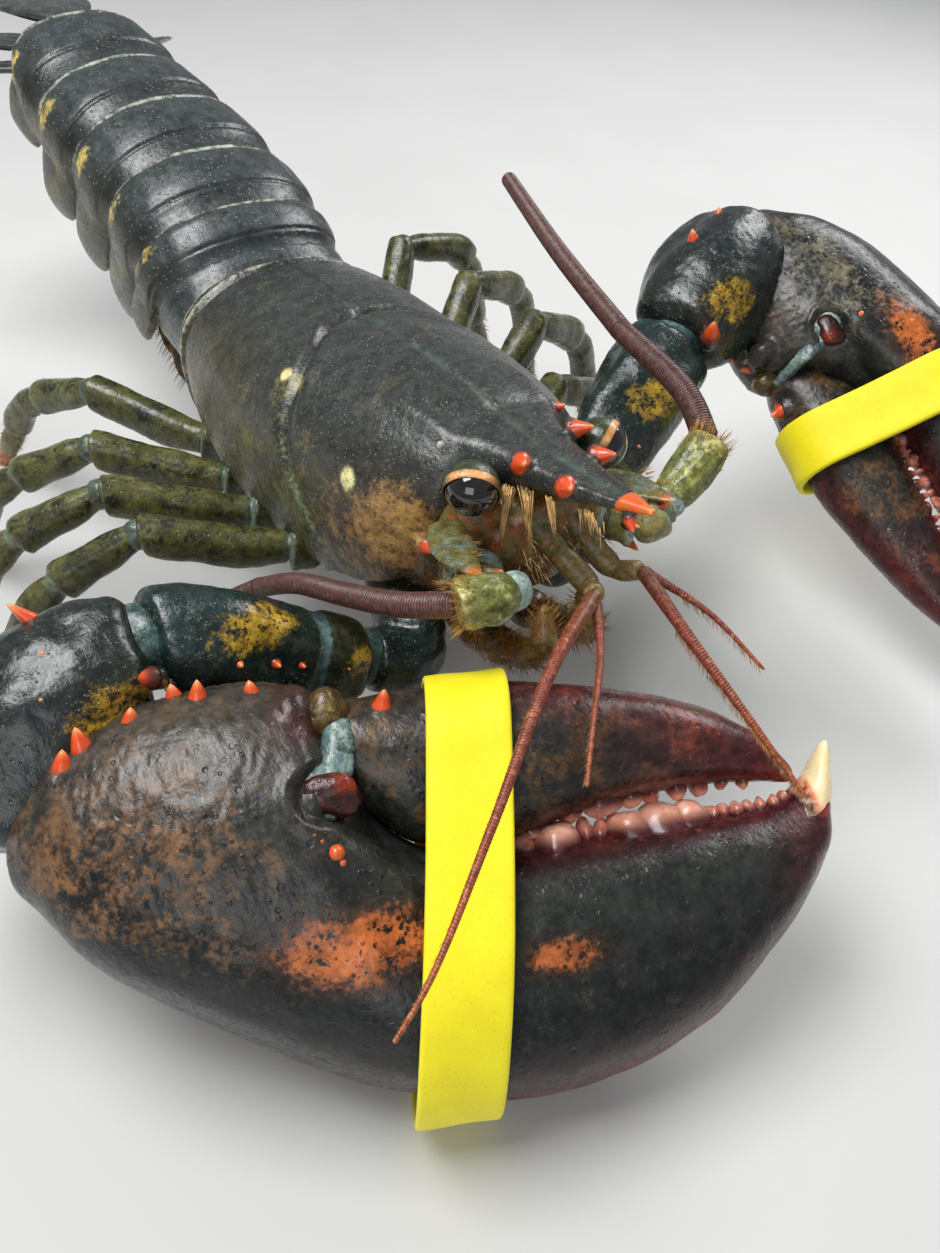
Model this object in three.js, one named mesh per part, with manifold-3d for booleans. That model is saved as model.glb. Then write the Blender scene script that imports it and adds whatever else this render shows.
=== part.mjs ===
// American lobster, life size, at rest on its legs and on the edge of its crusher claw.
// It faces -Y, its left is +X, and Z is up. All lengths are millimetres.
import * as THREE from "three";
import Module from "manifold-3d";

const wasm = await Module();
wasm.setup();

// Driving dimensions
const GAP = 0.3;
const PITCH = THREE.MathUtils.degToRad(8);
const BELLY_HEIGHT = 27;
const ROSTRUM_TIP = 149;
const CLAW_LENGTH = 152.3;
const CUTTER_LENGTH = 139;
const EYE_RADIUS = 5.6;
const BAND_WIDTH = 15.5;
const BAND_THICKNESS = 1.8;
const SPINE_SIDES = 5;

// Small vector helpers
const vec = (x, y, z) => new THREE.Vector3(x, y, z);
const along = (from, direction, length) => from.clone().addScaledVector(direction, length);
const unit = (x, y, z) => vec(x, y, z).normalize();

// Body frame: y = 0 at the rear edge of the carapace and z = 0 on the belly, pitched nose up
function body(x, y, z) {
  const level = y * Math.cos(PITCH) + z * Math.sin(PITCH);
  const height = z * Math.cos(PITCH) - y * Math.sin(PITCH) + BELLY_HEIGHT;
  return vec(x, level, height);
}

// Seeded random numbers between -1 and 1
let seed = 7;
function vary() {
  seed = (seed * 16807) % 2147483647;
  return (seed / 2147483647) * 2 - 1;
}

// Values at t from rows of [t, value, value, ...], along smooth curves that never overshoot
function at(rows, t) {
  const last = rows.length - 1;
  const here = Math.min(Math.max(t, rows[0][0]), rows[last][0]);
  let i = 0;
  while (i < last - 1 && here > rows[i + 1][0]) i += 1;
  const span = rows[i + 1][0] - rows[i][0];
  const u = (here - rows[i][0]) / span;
  const rise = (k, c) => (rows[k + 1][c] - rows[k][c]) / (rows[k + 1][0] - rows[k][0]);
  const slope = (k, c) => {
    if (k === 0) return rise(0, c);
    if (k === last) return rise(last - 1, c);
    const before = rise(k - 1, c);
    const after = rise(k, c);
    return before * after <= 0 ? 0 : (2 * before * after) / (before + after);
  };
  return rows[0].slice(1).map((_, n) => {
    const c = n + 1;
    const start = rows[i][c] * (1 + 2 * u) * (1 - u) ** 2 + slope(i, c) * span * u * (1 - u) ** 2;
    const end = rows[i + 1][c] * u * u * (3 - 2 * u) - slope(i + 1, c) * span * u * u * (1 - u);
    return start + end;
  });
}

// Rounded section as [across, up] pairs, a circle at squareness 2 and boxier above it
function oval(sides, squareness = 2) {
  return Array.from({ length: sides }, (_, k) => {
    const angle = (2 * Math.PI * (k + 0.5)) / sides;
    const bend = (v) => Math.sign(v) * Math.abs(v) ** (2 / squareness);
    return [bend(Math.cos(angle)), bend(Math.sin(angle))];
  });
}

// Closed body over rings of equal count, each end capped from its middle
function skin(rings) {
  const count = rings[0].length;
  const middle = (ring) => ring.reduce((sum, p) => sum.add(p), vec(0, 0, 0)).divideScalar(count);
  const points = [...rings.flat(), middle(rings[0]), middle(rings[rings.length - 1])];
  const head = rings.length * count;
  const faces = [];
  for (let r = 0; r < rings.length - 1; r += 1) {
    for (let k = 0; k < count; k += 1) {
      const a = r * count + k;
      const b = r * count + ((k + 1) % count);
      faces.push([a, b, b + count], [a, b + count, a + count]);
    }
  }
  for (let k = 0; k < count; k += 1) {
    const next = (k + 1) % count;
    const top = (rings.length - 1) * count;
    faces.push([head, next, k], [head + 1, top + k, top + next]);
  }
  return solid(points, faces);
}

// Manifold body of points and faces, turned so that its faces point out
function solid(points, faces) {
  const volume = faces.reduce((sum, [a, b, c]) => {
    return sum + points[a].dot(points[b].clone().cross(points[c]));
  }, 0);
  const turned = volume < 0 ? faces.map(([a, b, c]) => [a, c, b]) : faces;
  const vertProperties = new Float32Array(points.flatMap((p) => [p.x, p.y, p.z]));
  const triVerts = new Uint32Array(turned.flat());
  return new wasm.Manifold(new wasm.Mesh({ numProp: 3, vertProperties, triVerts }));
}

// Joined body, its largest closed surface only
function largest(piece) {
  return piece.decompose().sort((a, b) => b.volume() - a.volume())[0];
}
function join(first, ...others) {
  return others.reduce((sum, other) => sum.add(other), first);
}
function clear(piece, ...others) {
  return others.reduce((rest, other) => rest.subtract(other), piece);
}

// Limb along a path: size rows are [t, half width, half height], and each end may lie in a given plane
function limb({ path, size, up = vec(0, 0, 1), start, end, sides = 8, steps = 8, square = 2, grow = 0 }) {
  const curve = new THREE.CatmullRomCurve3(path, false, "centripetal");
  const section = oval(sides, square);
  const rings = [];
  for (let i = 0; i <= steps; i += 1) {
    const t = i / steps;
    const tangent = curve.getTangentAt(t);
    const normal = tangent.clone();
    if (start) normal.lerp(start, Math.max(0, 1 - t * 3));
    if (end) normal.lerp(end, Math.max(0, t * 3 - 2));
    normal.normalize();
    const side = normal.clone().cross(up).normalize();
    const rise = side.clone().cross(normal);
    const [w, h] = at(size, t);
    const reach = i === 0 ? GAP / 2 - grow : i === steps ? grow - GAP / 2 : 0;
    const centre = along(curve.getPointAt(t), normal, reach);
    rings.push(section.map(([a, b]) => {
      return centre.clone().addScaledVector(side, a * (w + grow)).addScaledVector(rise, b * (h + grow));
    }));
  }
  return skin(rings);
}

// Blade in its own frame: rows are [distance, low edge, high edge, half thickness]
function blade(frame, rows, { from, to, sides = 12, steps = 12, square = 2.2, grow = 0 }) {
  const section = oval(sides, square);
  const rings = [];
  for (let i = 0; i <= steps; i += 1) {
    const s = from + ((to - from) * i) / steps;
    const [low, high, thick] = at(rows, s);
    const reach = i === 0 ? -grow : i === steps ? grow : 0;
    rings.push(section.map(([a, b]) => {
      const across = (low + high) / 2 + a * ((high - low) / 2 + grow);
      return frame.point(s + reach, across, b * (thick + grow));
    }));
  }
  return skin(rings);
}

// Frame of a claw: its heel, the way to the tips, the way to the hinged finger, and out of its face
function clawFrame(heel, axis, toward) {
  const across = toward.clone().addScaledVector(axis, -toward.dot(axis)).normalize();
  const out = across.clone().cross(axis).normalize();
  if (out.z < 0) out.negate();
  return {
    axis,
    across,
    out,
    point: (s, a, n) => along(along(along(heel, axis, s), across, a), out, n),
  };
}

// Spine from a root sunk in its node to a sharp tip
function spine(root, direction, length, radius, sides = SPINE_SIDES) {
  const side = direction.clone().cross(Math.abs(direction.z) > 0.8 ? vec(1, 0, 0) : vec(0, 0, 1)).normalize();
  const rise = side.clone().cross(direction);
  const tip = along(root, direction, length);
  const ring = (centre, r) => oval(sides).map(([a, b]) => {
    return centre.clone().addScaledVector(side, a * r).addScaledVector(rise, b * r);
  });
  const sunk = along(root, direction, -radius);
  return skin([ring(sunk, radius), ring(along(root, direction, length * 0.4), radius * 0.72), ring(tip, 0.12)]);
}

// Rounded lump, such as a tooth or a knob
function lump(centre, axes, radii, detail = 1) {
  const shape = new THREE.IcosahedronGeometry(1, detail);
  const raw = shape.getAttribute("position");
  const points = [];
  const index = new Map();
  const corner = (k) => {
    const p = vec(raw.getX(k), raw.getY(k), raw.getZ(k));
    const name = [p.x, p.y, p.z].map((v) => Math.round(v * 1e4)).join();
    if (!index.has(name)) {
      index.set(name, points.length);
      const put = centre.clone();
      axes.forEach((axis, n) => put.addScaledVector(axis, p.getComponent(n) * radii[n]));
      points.push(put);
    }
    return index.get(name);
  };
  const faces = [];
  for (let k = 0; k < raw.count; k += 3) faces.push([corner(k), corner(k + 1), corner(k + 2)]);
  return solid(points, faces);
}

// Materials by colour
const shell = (color, roughness = 0.35) => new THREE.MeshStandardMaterial({ color, roughness, metalness: 0 });
const DARK = shell("#20261f");
const SLATE = shell("#2b3336");
const OLIVE = shell("#4a4a24");
const MAROON = shell("#3c1a18");
const BLACK = shell("#050505", 0.05);
const YELLOW = shell("#e8d800", 0.7);
const UMBER = shell("#5a3326");

const lobster = new THREE.Group();
const made = [];
function node(name, piece, material) {
  made.push({ name, piece: largest(piece), material });
}

// Carapace: rows of [distance back from the rostrum side, half width, top, bottom]
const HIP = 0.42;
const TUCK = 0.86;
const CARAPACE_ROWS = [
  [-106, 19.5, 49.5, 24],
  [-100, 23.5, 51.3, 17],
  [-90, 27.8, 52.4, 10.5],
  [-76, 31, 53, 7],
  [-60, 32.6, 53.2, 6],
  [-48, 33, 52.7, 6],
  [-30, 32.6, 53.6, 7.5],
  [-14, 31, 53, 11],
  [-4, 29.2, 51.8, 16],
  [0, 28.4, 51.2, 20],
];
const CARAPACE_STATIONS = [-106, -100, -92, -83, -72, -60, -52, -47.5, -43, -32, -20, -9, -2.2, 0];

// Section of the trunk: a rounded arch over sides that tuck in to a flat underside
function arch(halfWidth, top, bottom, arc = 9) {
  const hip = bottom + HIP * (top - bottom);
  const ring = [];
  for (let k = 0; k <= 2 * arc; k += 1) {
    const angle = (Math.PI * k) / (2 * arc);
    const side = Math.sign(Math.cos(angle)) * Math.abs(Math.cos(angle)) ** (2 / 2.25);
    ring.push([halfWidth * side, hip + (top - hip) * Math.sin(angle) ** (2 / 2.25)]);
  }
  const low = (s, k) => {
    const turn = (Math.PI * k) / 6;
    const wide = TUCK + (1 - TUCK) * Math.cos(turn);
    return [s * halfWidth * wide, hip - (hip - bottom) * Math.sin(turn)];
  };
  ring.push(low(-1, 1.6), low(-1, 3), low(1, 3), low(1, 1.6));
  return ring;
}

function trunk(rows, stations, grow = 0, arc = 8) {
  const last = stations.length - 1;
  return skin(stations.map((y, i) => {
    const [halfWidth, top, bottom] = at(rows, y);
    const reach = i === 0 ? -grow : i === last ? grow : 0;
    const ring = arch(halfWidth + grow, top + grow, bottom - grow, arc);
    return ring.map(([x, z]) => body(x, y + reach, z));
  }));
}

// Rostrum: rows of [distance, half width, top, bottom]
const ROSTRUM_ROWS = [
  [-ROSTRUM_TIP, 0.4, 50.1, 49.2],
  [-140, 3.2, 50, 46.2],
  [-128, 5.8, 49.8, 43.2],
  [-116, 8.6, 50.2, 40.5],
  [-106, 12.4, 50.9, 38],
  [-88, 17, 50.6, 36],
];
function rostrum(grow = 0) {
  const stations = [-ROSTRUM_TIP, -143, -134, -124, -115, -106, -96, -88];
  return skin(stations.map((y, i) => {
    const [w, top, bottom] = at(ROSTRUM_ROWS, y);
    const reach = i === 0 ? -grow : 0;
    return oval(8, 2.4).map(([a, b]) => {
      return body(a * (w + grow), y + reach, (top + bottom) / 2 + b * ((top - bottom) / 2 + grow));
    });
  }));
}
const carapaceShell = (grow = 0) => join(trunk(CARAPACE_ROWS, CARAPACE_STATIONS, grow), rostrum(grow));

// Spines of the head: [side, distance, height, length, way out]
const HEAD_SPINES = [
  [8.2, -118, 49.6, 5.2, unit(0.35, -1, 0.25)],
  [6, -128.5, 48.6, 4.6, unit(0.3, -1, 0.28)],
  [4, -137.5, 48.4, 3.4, unit(0.25, -1, 0.3)],
  [14.4, -100, 47.4, 5, unit(0.2, -1, 0.35)],
  [19, -104, 38, 6, unit(0.25, -1, 0.1)],
];
const pitchWay = (way) => body(way.x, way.y, way.z).sub(body(0, 0, 0)).normalize();
const headSpines = [];
for (const side of [-1, 1]) {
  for (const [x, y, z, length, way] of HEAD_SPINES) {
    const turned = pitchWay(vec(way.x * side, way.y, way.z));
    headSpines.push(spine(body(x * side, y, z), turned, length, 1.3));
  }
}
const carapace = join(carapaceShell(), ...headSpines);

// Front of the head under the rostrum, which carries eyes, feelers and mouth parts
const FACE_ROWS = [
  [-121, 8, 38, 22],
  [-116, 14, 40, 15],
  [-108, 19, 42, 10],
  [-96, 22, 43, 6],
];
const faceBlock = (grow = 0) => skin([-121, -118, -114, -108, -102, -96].map((y, i) => {
  const [w, top, bottom] = at(FACE_ROWS, y);
  const reach = i === 0 ? -grow : 0;
  return oval(12, 2.6).map(([a, b]) => {
    return body(a * (w + grow), y + reach, (top + bottom) / 2 + b * ((top - bottom) / 2 + grow));
  });
}));
const face = clear(faceBlock(), carapaceShell(GAP));

// Thorax underside: plate between the leg roots
const THORAX_ROWS = [
  [-102, 10, 20, 6],
  [-84, 19, 20, 1],
  [-60, 22, 20, 0],
  [-30, 23, 20, 0],
  [-8, 21, 22, 4],
  [-1, 19, 24, 12],
];
const thoraxBlock = (grow = 0) => skin([-102, -93, -84, -68, -50, -30, -16, -8, -1].map((y, i) => {
  const [w, top, bottom] = at(THORAX_ROWS, y);
  const reach = i === 0 ? -grow : i === 8 ? grow : 0;
  return oval(10, 3).map(([a, b]) => {
    return body(a * (w + grow), y + reach, (top + bottom) / 2 + b * ((top - bottom) / 2 + grow));
  });
}));
const thorax = clear(thoraxBlock(), carapaceShell(GAP), faceBlock(GAP));

node("carapace", carapace, SLATE);
node("head_front", face, OLIVE);
node("thorax_underside", thorax, UMBER);

// Middle line of the back of the abdomen, rising from the carapace to the last ring
const BACK_LINE = [
  [0, 0, 51],
  [0, 17, 63],
  [0, 38, 73],
  [-2, 61, 82],
  [-5, 84, 89.5],
  [-7, 106, 98],
  [-9, 126, 103],
].map((p) => body(...p));
const backCurve = new THREE.CatmullRomCurve3(BACK_LINE, false, "centripetal");
const BACK_SPAN = backCurve.getLength();
const RING_EDGES = [0.4, 5.5, 21, 44, 68.6, 92.7, 117];
const ABDOMEN_ROWS = [
  [0, 26.5, 29],
  [5, 28, 31],
  [21, 29, 33],
  [44, 28.6, 33],
  [68.6, 27.6, 31],
  [92.7, 26, 28],
  [117, 21.5, 22],
];

const FIRST_RING_FRONT = [26.4, 50, 23];

// Frame across the abdomen at a distance along its back
function backFrame(s) {
  const t = Math.min(1, s / BACK_SPAN);
  const centre = backCurve.getPointAt(t);
  const forward = backCurve.getTangentAt(t);
  const side = forward.clone().cross(vec(0, 0, 1)).normalize();
  const up = side.clone().cross(forward).normalize();
  return (x, z, back = 0) => along(along(along(centre, side, x), up, z), forward, back);
}

// First ring: a wedge from the rear face of the carapace to the tilted face of the second ring
function firstRing() {
  const [halfWidth, top, bottom] = FIRST_RING_FRONT;
  const [rearWidth, depth] = at(ABDOMEN_ROWS, RING_EDGES[1]);
  const place = backFrame(RING_EDGES[1] - GAP / 2);
  const front = arch(halfWidth, top, bottom, 7).map(([x, z]) => body(x, GAP, z));
  const rear = arch(rearWidth - 0.8, -0.8, -depth, 7).map(([x, z]) => place(x, z));
  const between = front.map((p, k) => p.clone().lerp(rear[k], 0.5));
  return skin([front, between, rear]);
}

// Ring of the abdomen, its front a step lower where the ring ahead laps over it
function abdomenRing(index, grow = 0) {
  const from = RING_EDGES[index] + GAP / 2 - grow;
  const to = RING_EDGES[index + 1] - GAP / 2 + grow;
  const stations = [from, from + 2.5, (from + to) / 2, to - 2.2, to];
  const insets = [1.5, 0.5, 0.3, 0, 0.15];
  return skin(stations.map((s, i) => {
    const [halfWidth, depth] = at(ABDOMEN_ROWS, s);
    const place = backFrame(s);
    return arch(halfWidth - insets[i] + grow, grow - insets[i], -depth - grow, 7).map(([x, z]) => place(x, z));
  }));
}

// Side plate that hangs from an abdomen ring and ends in a point
const PLATE_DROP = [0, 12, 15, 14, 13, 9];
function sidePlate(index, side) {
  const middle = (RING_EDGES[index] + RING_EDGES[index + 1]) / 2;
  const span = RING_EDGES[index + 1] - RING_EDGES[index];
  const [halfWidth, depth] = at(ABDOMEN_ROWS, middle);
  const place = backFrame(middle);
  const rows = [
    [0, halfWidth - 3.6, -depth * 0.62, span * 0.4, 0],
    [1, halfWidth - 2.4, -depth * 0.9, span * 0.4, 0.5],
    [2, halfWidth - 3, -depth - PLATE_DROP[index] * 0.55, span * 0.27, 3],
    [3, halfWidth - 4.4, -depth - PLATE_DROP[index], 0.9, 7],
  ];
  return skin(rows.map(([, x, z, half, back]) => {
    return oval(6, 2.4).map(([a, b]) => place(side * (x + b * 1.3), z, back + a * half));
  }));
}

// Paddle under an abdomen ring
function paddle(index, side) {
  const middle = (RING_EDGES[index] + RING_EDGES[index + 1]) / 2;
  const [, depth] = at(ABDOMEN_ROWS, middle);
  const place = backFrame(middle);
  const rows = [
    [13, -depth + 3, 3.2, 1.6, 0],
    [13.5, -depth - 5, 3.2, 1.2, -1],
    [15, -depth - 13, 5, 0.8, -5],
    [16, -depth - 22, 1.6, 0.5, -10],
  ];
  return skin(rows.map(([x, z, wide, thick, back]) => {
    return oval(6).map(([a, b]) => place(side * x + a * wide, z, back + b * thick));
  }));
}

RING_EDGES.slice(0, 6).forEach((_, index) => {
  const pieces = [];
  for (const side of [-1, 1]) {
    if (index > 0) pieces.push(sidePlate(index, side));
    if (index > 0 && index < 5) pieces.push(paddle(index, side));
  }
  const plates = index < 5 ? pieces.map((piece) => clear(piece, abdomenRing(index + 1, GAP))) : pieces;
  const ring = index === 0 ? firstRing() : abdomenRing(index);
  node(`abdomen_${index + 1}`, join(ring, ...plates), SLATE);
});

// Tail fan: plates that start on the rear face of the last ring and droop
function fanPlate({ x, z, length, width, splay, droop, thick, curl }) {
  const place = backFrame(RING_EDGES[6]);
  const rows = [
    [0, 0.3, 1],
    [0.12, 0.55, 1],
    [0.4, 0.9, 0.8],
    [0.75, 1, 0.6],
    [0.93, 0.78, 0.5],
    [1, 0.45, 0.4],
  ];
  return skin(rows.map(([t, wide, deep]) => {
    const back = GAP / 2 + t * length * Math.cos(splay);
    const out = x + Math.sign(x || 1) * t * length * Math.sin(splay) * (x === 0 ? 0 : 1);
    const low = z - droop * t - curl * t * t;
    return oval(10, 2.6).map(([a, b]) => place(out + a * width * wide, low + b * thick * deep, back));
  }));
}
node("telson", fanPlate({
  x: 0, z: -4, length: 40, width: 13.5, splay: 0, droop: 6, thick: 2.6, curl: 5,
}), SLATE);
for (const [word, side] of [["right", -1], ["left", 1]]) {
  node(`uropod_inner_${word}`, fanPlate({
    x: side * 9.5, z: -11, length: 42, width: 10.5, splay: 0.33, droop: 8, thick: 1.6, curl: 6,
  }), SLATE);
  node(`uropod_outer_${word}`, fanPlate({
    x: side * 14.5, z: -16, length: 46, width: 12.5, splay: 0.6, droop: 11, thick: 1.6, curl: 7,
  }), SLATE);
}

// Eyes on short stalks beside the rostrum
const STALK_ROOT = [9.5, -110.5, 40.6];
const EYE_CENTRE = [15.7, -116.5, 44];
for (const [word, side] of [["right", -1], ["left", 1]]) {
  const root = body(STALK_ROOT[0] * side, STALK_ROOT[1], STALK_ROOT[2]);
  const centre = body(EYE_CENTRE[0] * side, EYE_CENTRE[1], EYE_CENTRE[2]);
  const way = centre.clone().sub(root).normalize();
  const axes = [vec(1, 0, 0), vec(0, 1, 0), vec(0, 0, 1)];
  const ball = (grow) => lump(centre, axes, [EYE_RADIUS, EYE_RADIUS, EYE_RADIUS].map((r) => r + grow));
  const stalk = limb({
    path: [root, along(centre, way, -1.5)],
    size: [[0, 3.4, 3.4], [0.6, 4, 4], [1, 4.9, 4.9]],
    steps: 3,
  });
  node(`eye_${word}`, clear(ball(0), carapaceShell(GAP)), BLACK);
  node(`eyestalk_${word}`, clear(stalk, ball(GAP), carapaceShell(GAP), faceBlock(GAP)), OLIVE);
}

// Antenna: a peduncle of three barrels and a long ringed flagellum in two lengths
const ANTENNAE = {
  right: {
    peduncle: [body(-15, -112, 26), vec(-19, -121, 70), vec(-22.5, -126, 75), vec(-28, -125, 75.5)],
    near: [vec(-28, -125, 75.5), vec(-34, -115, 70), vec(-38.5, -101, 63.5), vec(-42, -87, 57), vec(-45, -74, 47)],
    far: [vec(-45, -74, 47), vec(-57, -61, 33), vec(-84, -56, 22), vec(-122, -54, 16), vec(-160, -66, 12)],
  },
  left: {
    peduncle: [body(14, -112, 28), vec(22, -119, 72), vec(34, -118, 78), vec(41, -115, 82)],
    near: [vec(41, -115, 82), vec(43.5, -104, 87), vec(44, -80, 90.5)],
    far: [vec(44, -80, 90.5), vec(52, -47, 92), vec(67, -3, 92)],
  },
};
const PEDUNCLE_SIZE = [[0, 5.4, 5.4], [0.25, 6.2, 6], [0.5, 5.2, 5], [0.75, 5.4, 5.2], [1, 3.6, 3.4]];
const antennaSize = (from, to) => [[0, from, from], [1, to, to]];
const peduncles = {};
for (const word of ["right", "left"]) {
  const { peduncle, near, far } = ANTENNAE[word];
  const side = word === "right" ? -1 : 1;
  const stem = (grow) => limb({
    path: peduncle, size: PEDUNCLE_SIZE, steps: 9, grow, end: near[1].clone().sub(near[0]).normalize(),
  });
  peduncles[word] = stem(GAP);
  node(`antenna_peduncle_${word}`, clear(stem(0), carapaceShell(GAP), faceBlock(GAP)), OLIVE);
  const tips = word === "right" ? [2.7, 2.2, 1.1] : [2.9, 2.5, 2.1];
  const farCurve = far[1].clone().sub(far[0]).normalize();
  const nearCurve = near[near.length - 1].clone().sub(near[near.length - 2]).normalize();
  const bend = farCurve.add(nearCurve).normalize();
  const base = limb({
    path: near, size: antennaSize(tips[0], tips[1]), steps: 9, sides: 7, end: bend,
  });
  node(`antenna_near_${word}`, clear(base, stem(GAP)), MAROON);
  node(`antenna_far_${word}`, limb({
    path: far, size: antennaSize(tips[1], tips[2]), steps: 11, sides: 7, start: bend,
  }), MAROON);
  const scale = limb({
    path: [body(side * 18, -110, 33), body(side * 22, -121, 34), body(side * 23.5, -131, 35)],
    size: [[0, 3.4, 1.6], [0.4, 4.6, 1.2], [1, 0.5, 0.4]], steps: 4, sides: 6,
  });
  node(`antennal_scale_${word}`,
    clear(scale, carapaceShell(GAP), faceBlock(GAP), stem(GAP)), OLIVE);
}

// Antennules: a short stem with a long outer and a thin inner lash
const ANTENNULES = {
  right: {
    stem: [body(-4, -117, 35), vec(4, -125, 66), vec(0, -131, 70)],
    outer: [vec(0, -131, 70), vec(-24, -147.6, 77), vec(-49.4, -167, 73), vec(-68.6, -180, 64), vec(-77, -184, 61)],
    inner: [vec(0, -131, 70), vec(-9, -144, 70), vec(-20, -156, 69), vec(-28, -165, 66)],
  },
  left: {
    stem: [body(5, -117, 35), vec(11, -124, 67), vec(13, -130, 70)],
    outer: [vec(13, -130, 70), vec(8, -147, 71), vec(9, -166, 64), vec(12, -182, 55)],
    inner: [vec(13, -130, 70), vec(20, -143, 66), vec(24, -157, 60)],
  },
};
for (const word of ["right", "left"]) {
  const { stem, outer, inner } = ANTENNULES[word];
  const pieces = [
    limb({ path: stem, size: [[0, 2.4, 2.4], [0.5, 2.6, 2.6], [1, 1.9, 1.9]], steps: 5, sides: 6 }),
    limb({ path: outer, size: [[0, 1.9, 1.9], [0.3, 1.4, 1.4], [1, 0.4, 0.4]], steps: 9, sides: 6 }),
    limb({ path: inner, size: [[0, 1.5, 1.5], [0.3, 0.9, 0.9], [1, 0.4, 0.4]], steps: 6, sides: 5 }),
    lump(stem[2], [vec(1, 0, 0), vec(0, 1, 0), vec(0, 0, 1)], [2.2, 2.2, 2.2], 0),
  ];
  node(`antennule_${word}`, clear(join(...pieces), faceBlock(GAP), carapaceShell(GAP)), MAROON);
}

// Claws: rows of [distance from the heel, low edge, high edge, half thickness]
const CRUSHER_PALM = [
  [0, -7, 8, 9],
  [4, -11, 13, 13],
  [12, -21, 19, 17.5],
  [25.5, -31, 25, 20.5],
  [41, -40.4, 26.5, 22],
  [52, -46, 24.5, 22],
  [60, -49.4, 8, 21.6],
  [66, -51.4, -3, 21],
  [75, -53.8, -9, 20],
  [88, -55.4, -10.5, 18.5],
  [104.7, -53.5, -9.5, 16.5],
  [121, -47.2, -8.6, 14.5],
  [136.6, -35.2, -8.2, 11.5],
  [147.6, -22.4, -5.5, 7],
  [CLAW_LENGTH, -9, 0.4, 2.4],
];
const CRUSHER_FINGER = [
  [54, 3, 18, 9],
  [62, 0, 21, 12.5],
  [72, -7, 21.8, 13],
  [88, -8, 21.6, 12.6],
  [107, -4, 18.8, 11],
  [127, -2.8, 13, 8.4],
  [139, -3.6, 6.2, 5.4],
  [145.3, -4.4, -1, 2],
];
const CUTTER_PALM = [
  [0, -7, 8, 8],
  [3.5, -10, 12, 11],
  [10, -18, 17, 14.5],
  [21.5, -26, 20, 17],
  [34.5, -31, 21, 18],
  [44, -34, 19.5, 17.6],
  [51, -36, 6, 17],
  [56, -37, -2, 16],
  [64, -37.5, -8, 15],
  [76, -36.5, -10, 13.4],
  [92, -33.5, -10.6, 11.6],
  [109, -28.5, -10, 9.6],
  [126, -21, -8, 6.6],
  [CUTTER_LENGTH, -9, -4, 2],
];
const CUTTER_FINGER = [
  [46, 3, 15, 8],
  [53, -1, 17, 10.5],
  [61, -6.6, 17.2, 11],
  [76, -8, 16.4, 10],
  [94, -8, 13, 8.2],
  [115, -6.4, 6.8, 6],
  [129, -4.6, 1, 4],
  [136, -4, -1.4, 1.4],
];
const CLAWS = {
  right: {
    frame: clawFrame(vec(-110.1, -108.9, 38.4), unit(0.903, -0.425, 0.07), vec(0.286, 0.714, 0.639)),
    palm: CRUSHER_PALM,
    finger: CRUSHER_FINGER,
    length: CLAW_LENGTH,
    band: [76, 76 + BAND_WIDTH],
    bandLean: 0.138,
    hinge: 54,
    teeth: [[84, 2.6], [91, 3.6], [99, 4.4], [108, 4.6], [116.5, 3.8], [124, 3], [131, 2.4], [137, 1.8]],
    fingerTeeth: [[94, 2], [103, 2.6], [112, 2.8], [120, 2.4], [127, 2]],
    spines: [[9.2, 15], [14.5, 19], [21.8, 22.6], [29.8, 25.4], [37, 26], [44, 25.8]],
    fingerSpine: [68.2, 21],
    end: 145.3,
  },
  left: {
    frame: clawFrame(vec(127.7, -38.6, 81), unit(-0.138, -0.886, -0.442), vec(-0.844, 0.338, -0.416)),
    palm: CUTTER_PALM,
    finger: CUTTER_FINGER,
    length: CUTTER_LENGTH,
    band: [62, 62 + BAND_WIDTH],
    bandLean: 0,
    hinge: 46,
    teeth: [[74, 1.2], [80, 1.6], [86, 1.8], [92, 2], [98, 1.8], [104, 1.6], [110, 1.4], [116, 1.2], [122, 1]],
    fingerTeeth: [[77, 1.2], [84, 1.6], [91, 1.6], [98, 1.8], [105, 1.4], [112, 1.2]],
    spines: [[8, 14], [14, 18.4], [21, 20], [28, 20.8], [35.5, 21]],
    fingerSpine: [59, 17],
    end: 136,
  },
};

// Convex outline around points in a plane, by walking its lower and upper sides
function hull(points) {
  const sorted = [...points].sort((p, q) => p[0] - q[0] || p[1] - q[1]);
  const half = (list) => {
    const kept = [];
    for (const p of list) {
      while (kept.length > 1) {
        const [a, b] = kept.slice(-2);
        if ((b[0] - a[0]) * (p[1] - a[1]) - (b[1] - a[1]) * (p[0] - a[0]) > 1e-6) break;
        kept.pop();
      }
      kept.push(p);
    }
    return kept.slice(0, -1);
  };
  return [...half(sorted), ...half(sorted.reverse())];
}

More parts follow.
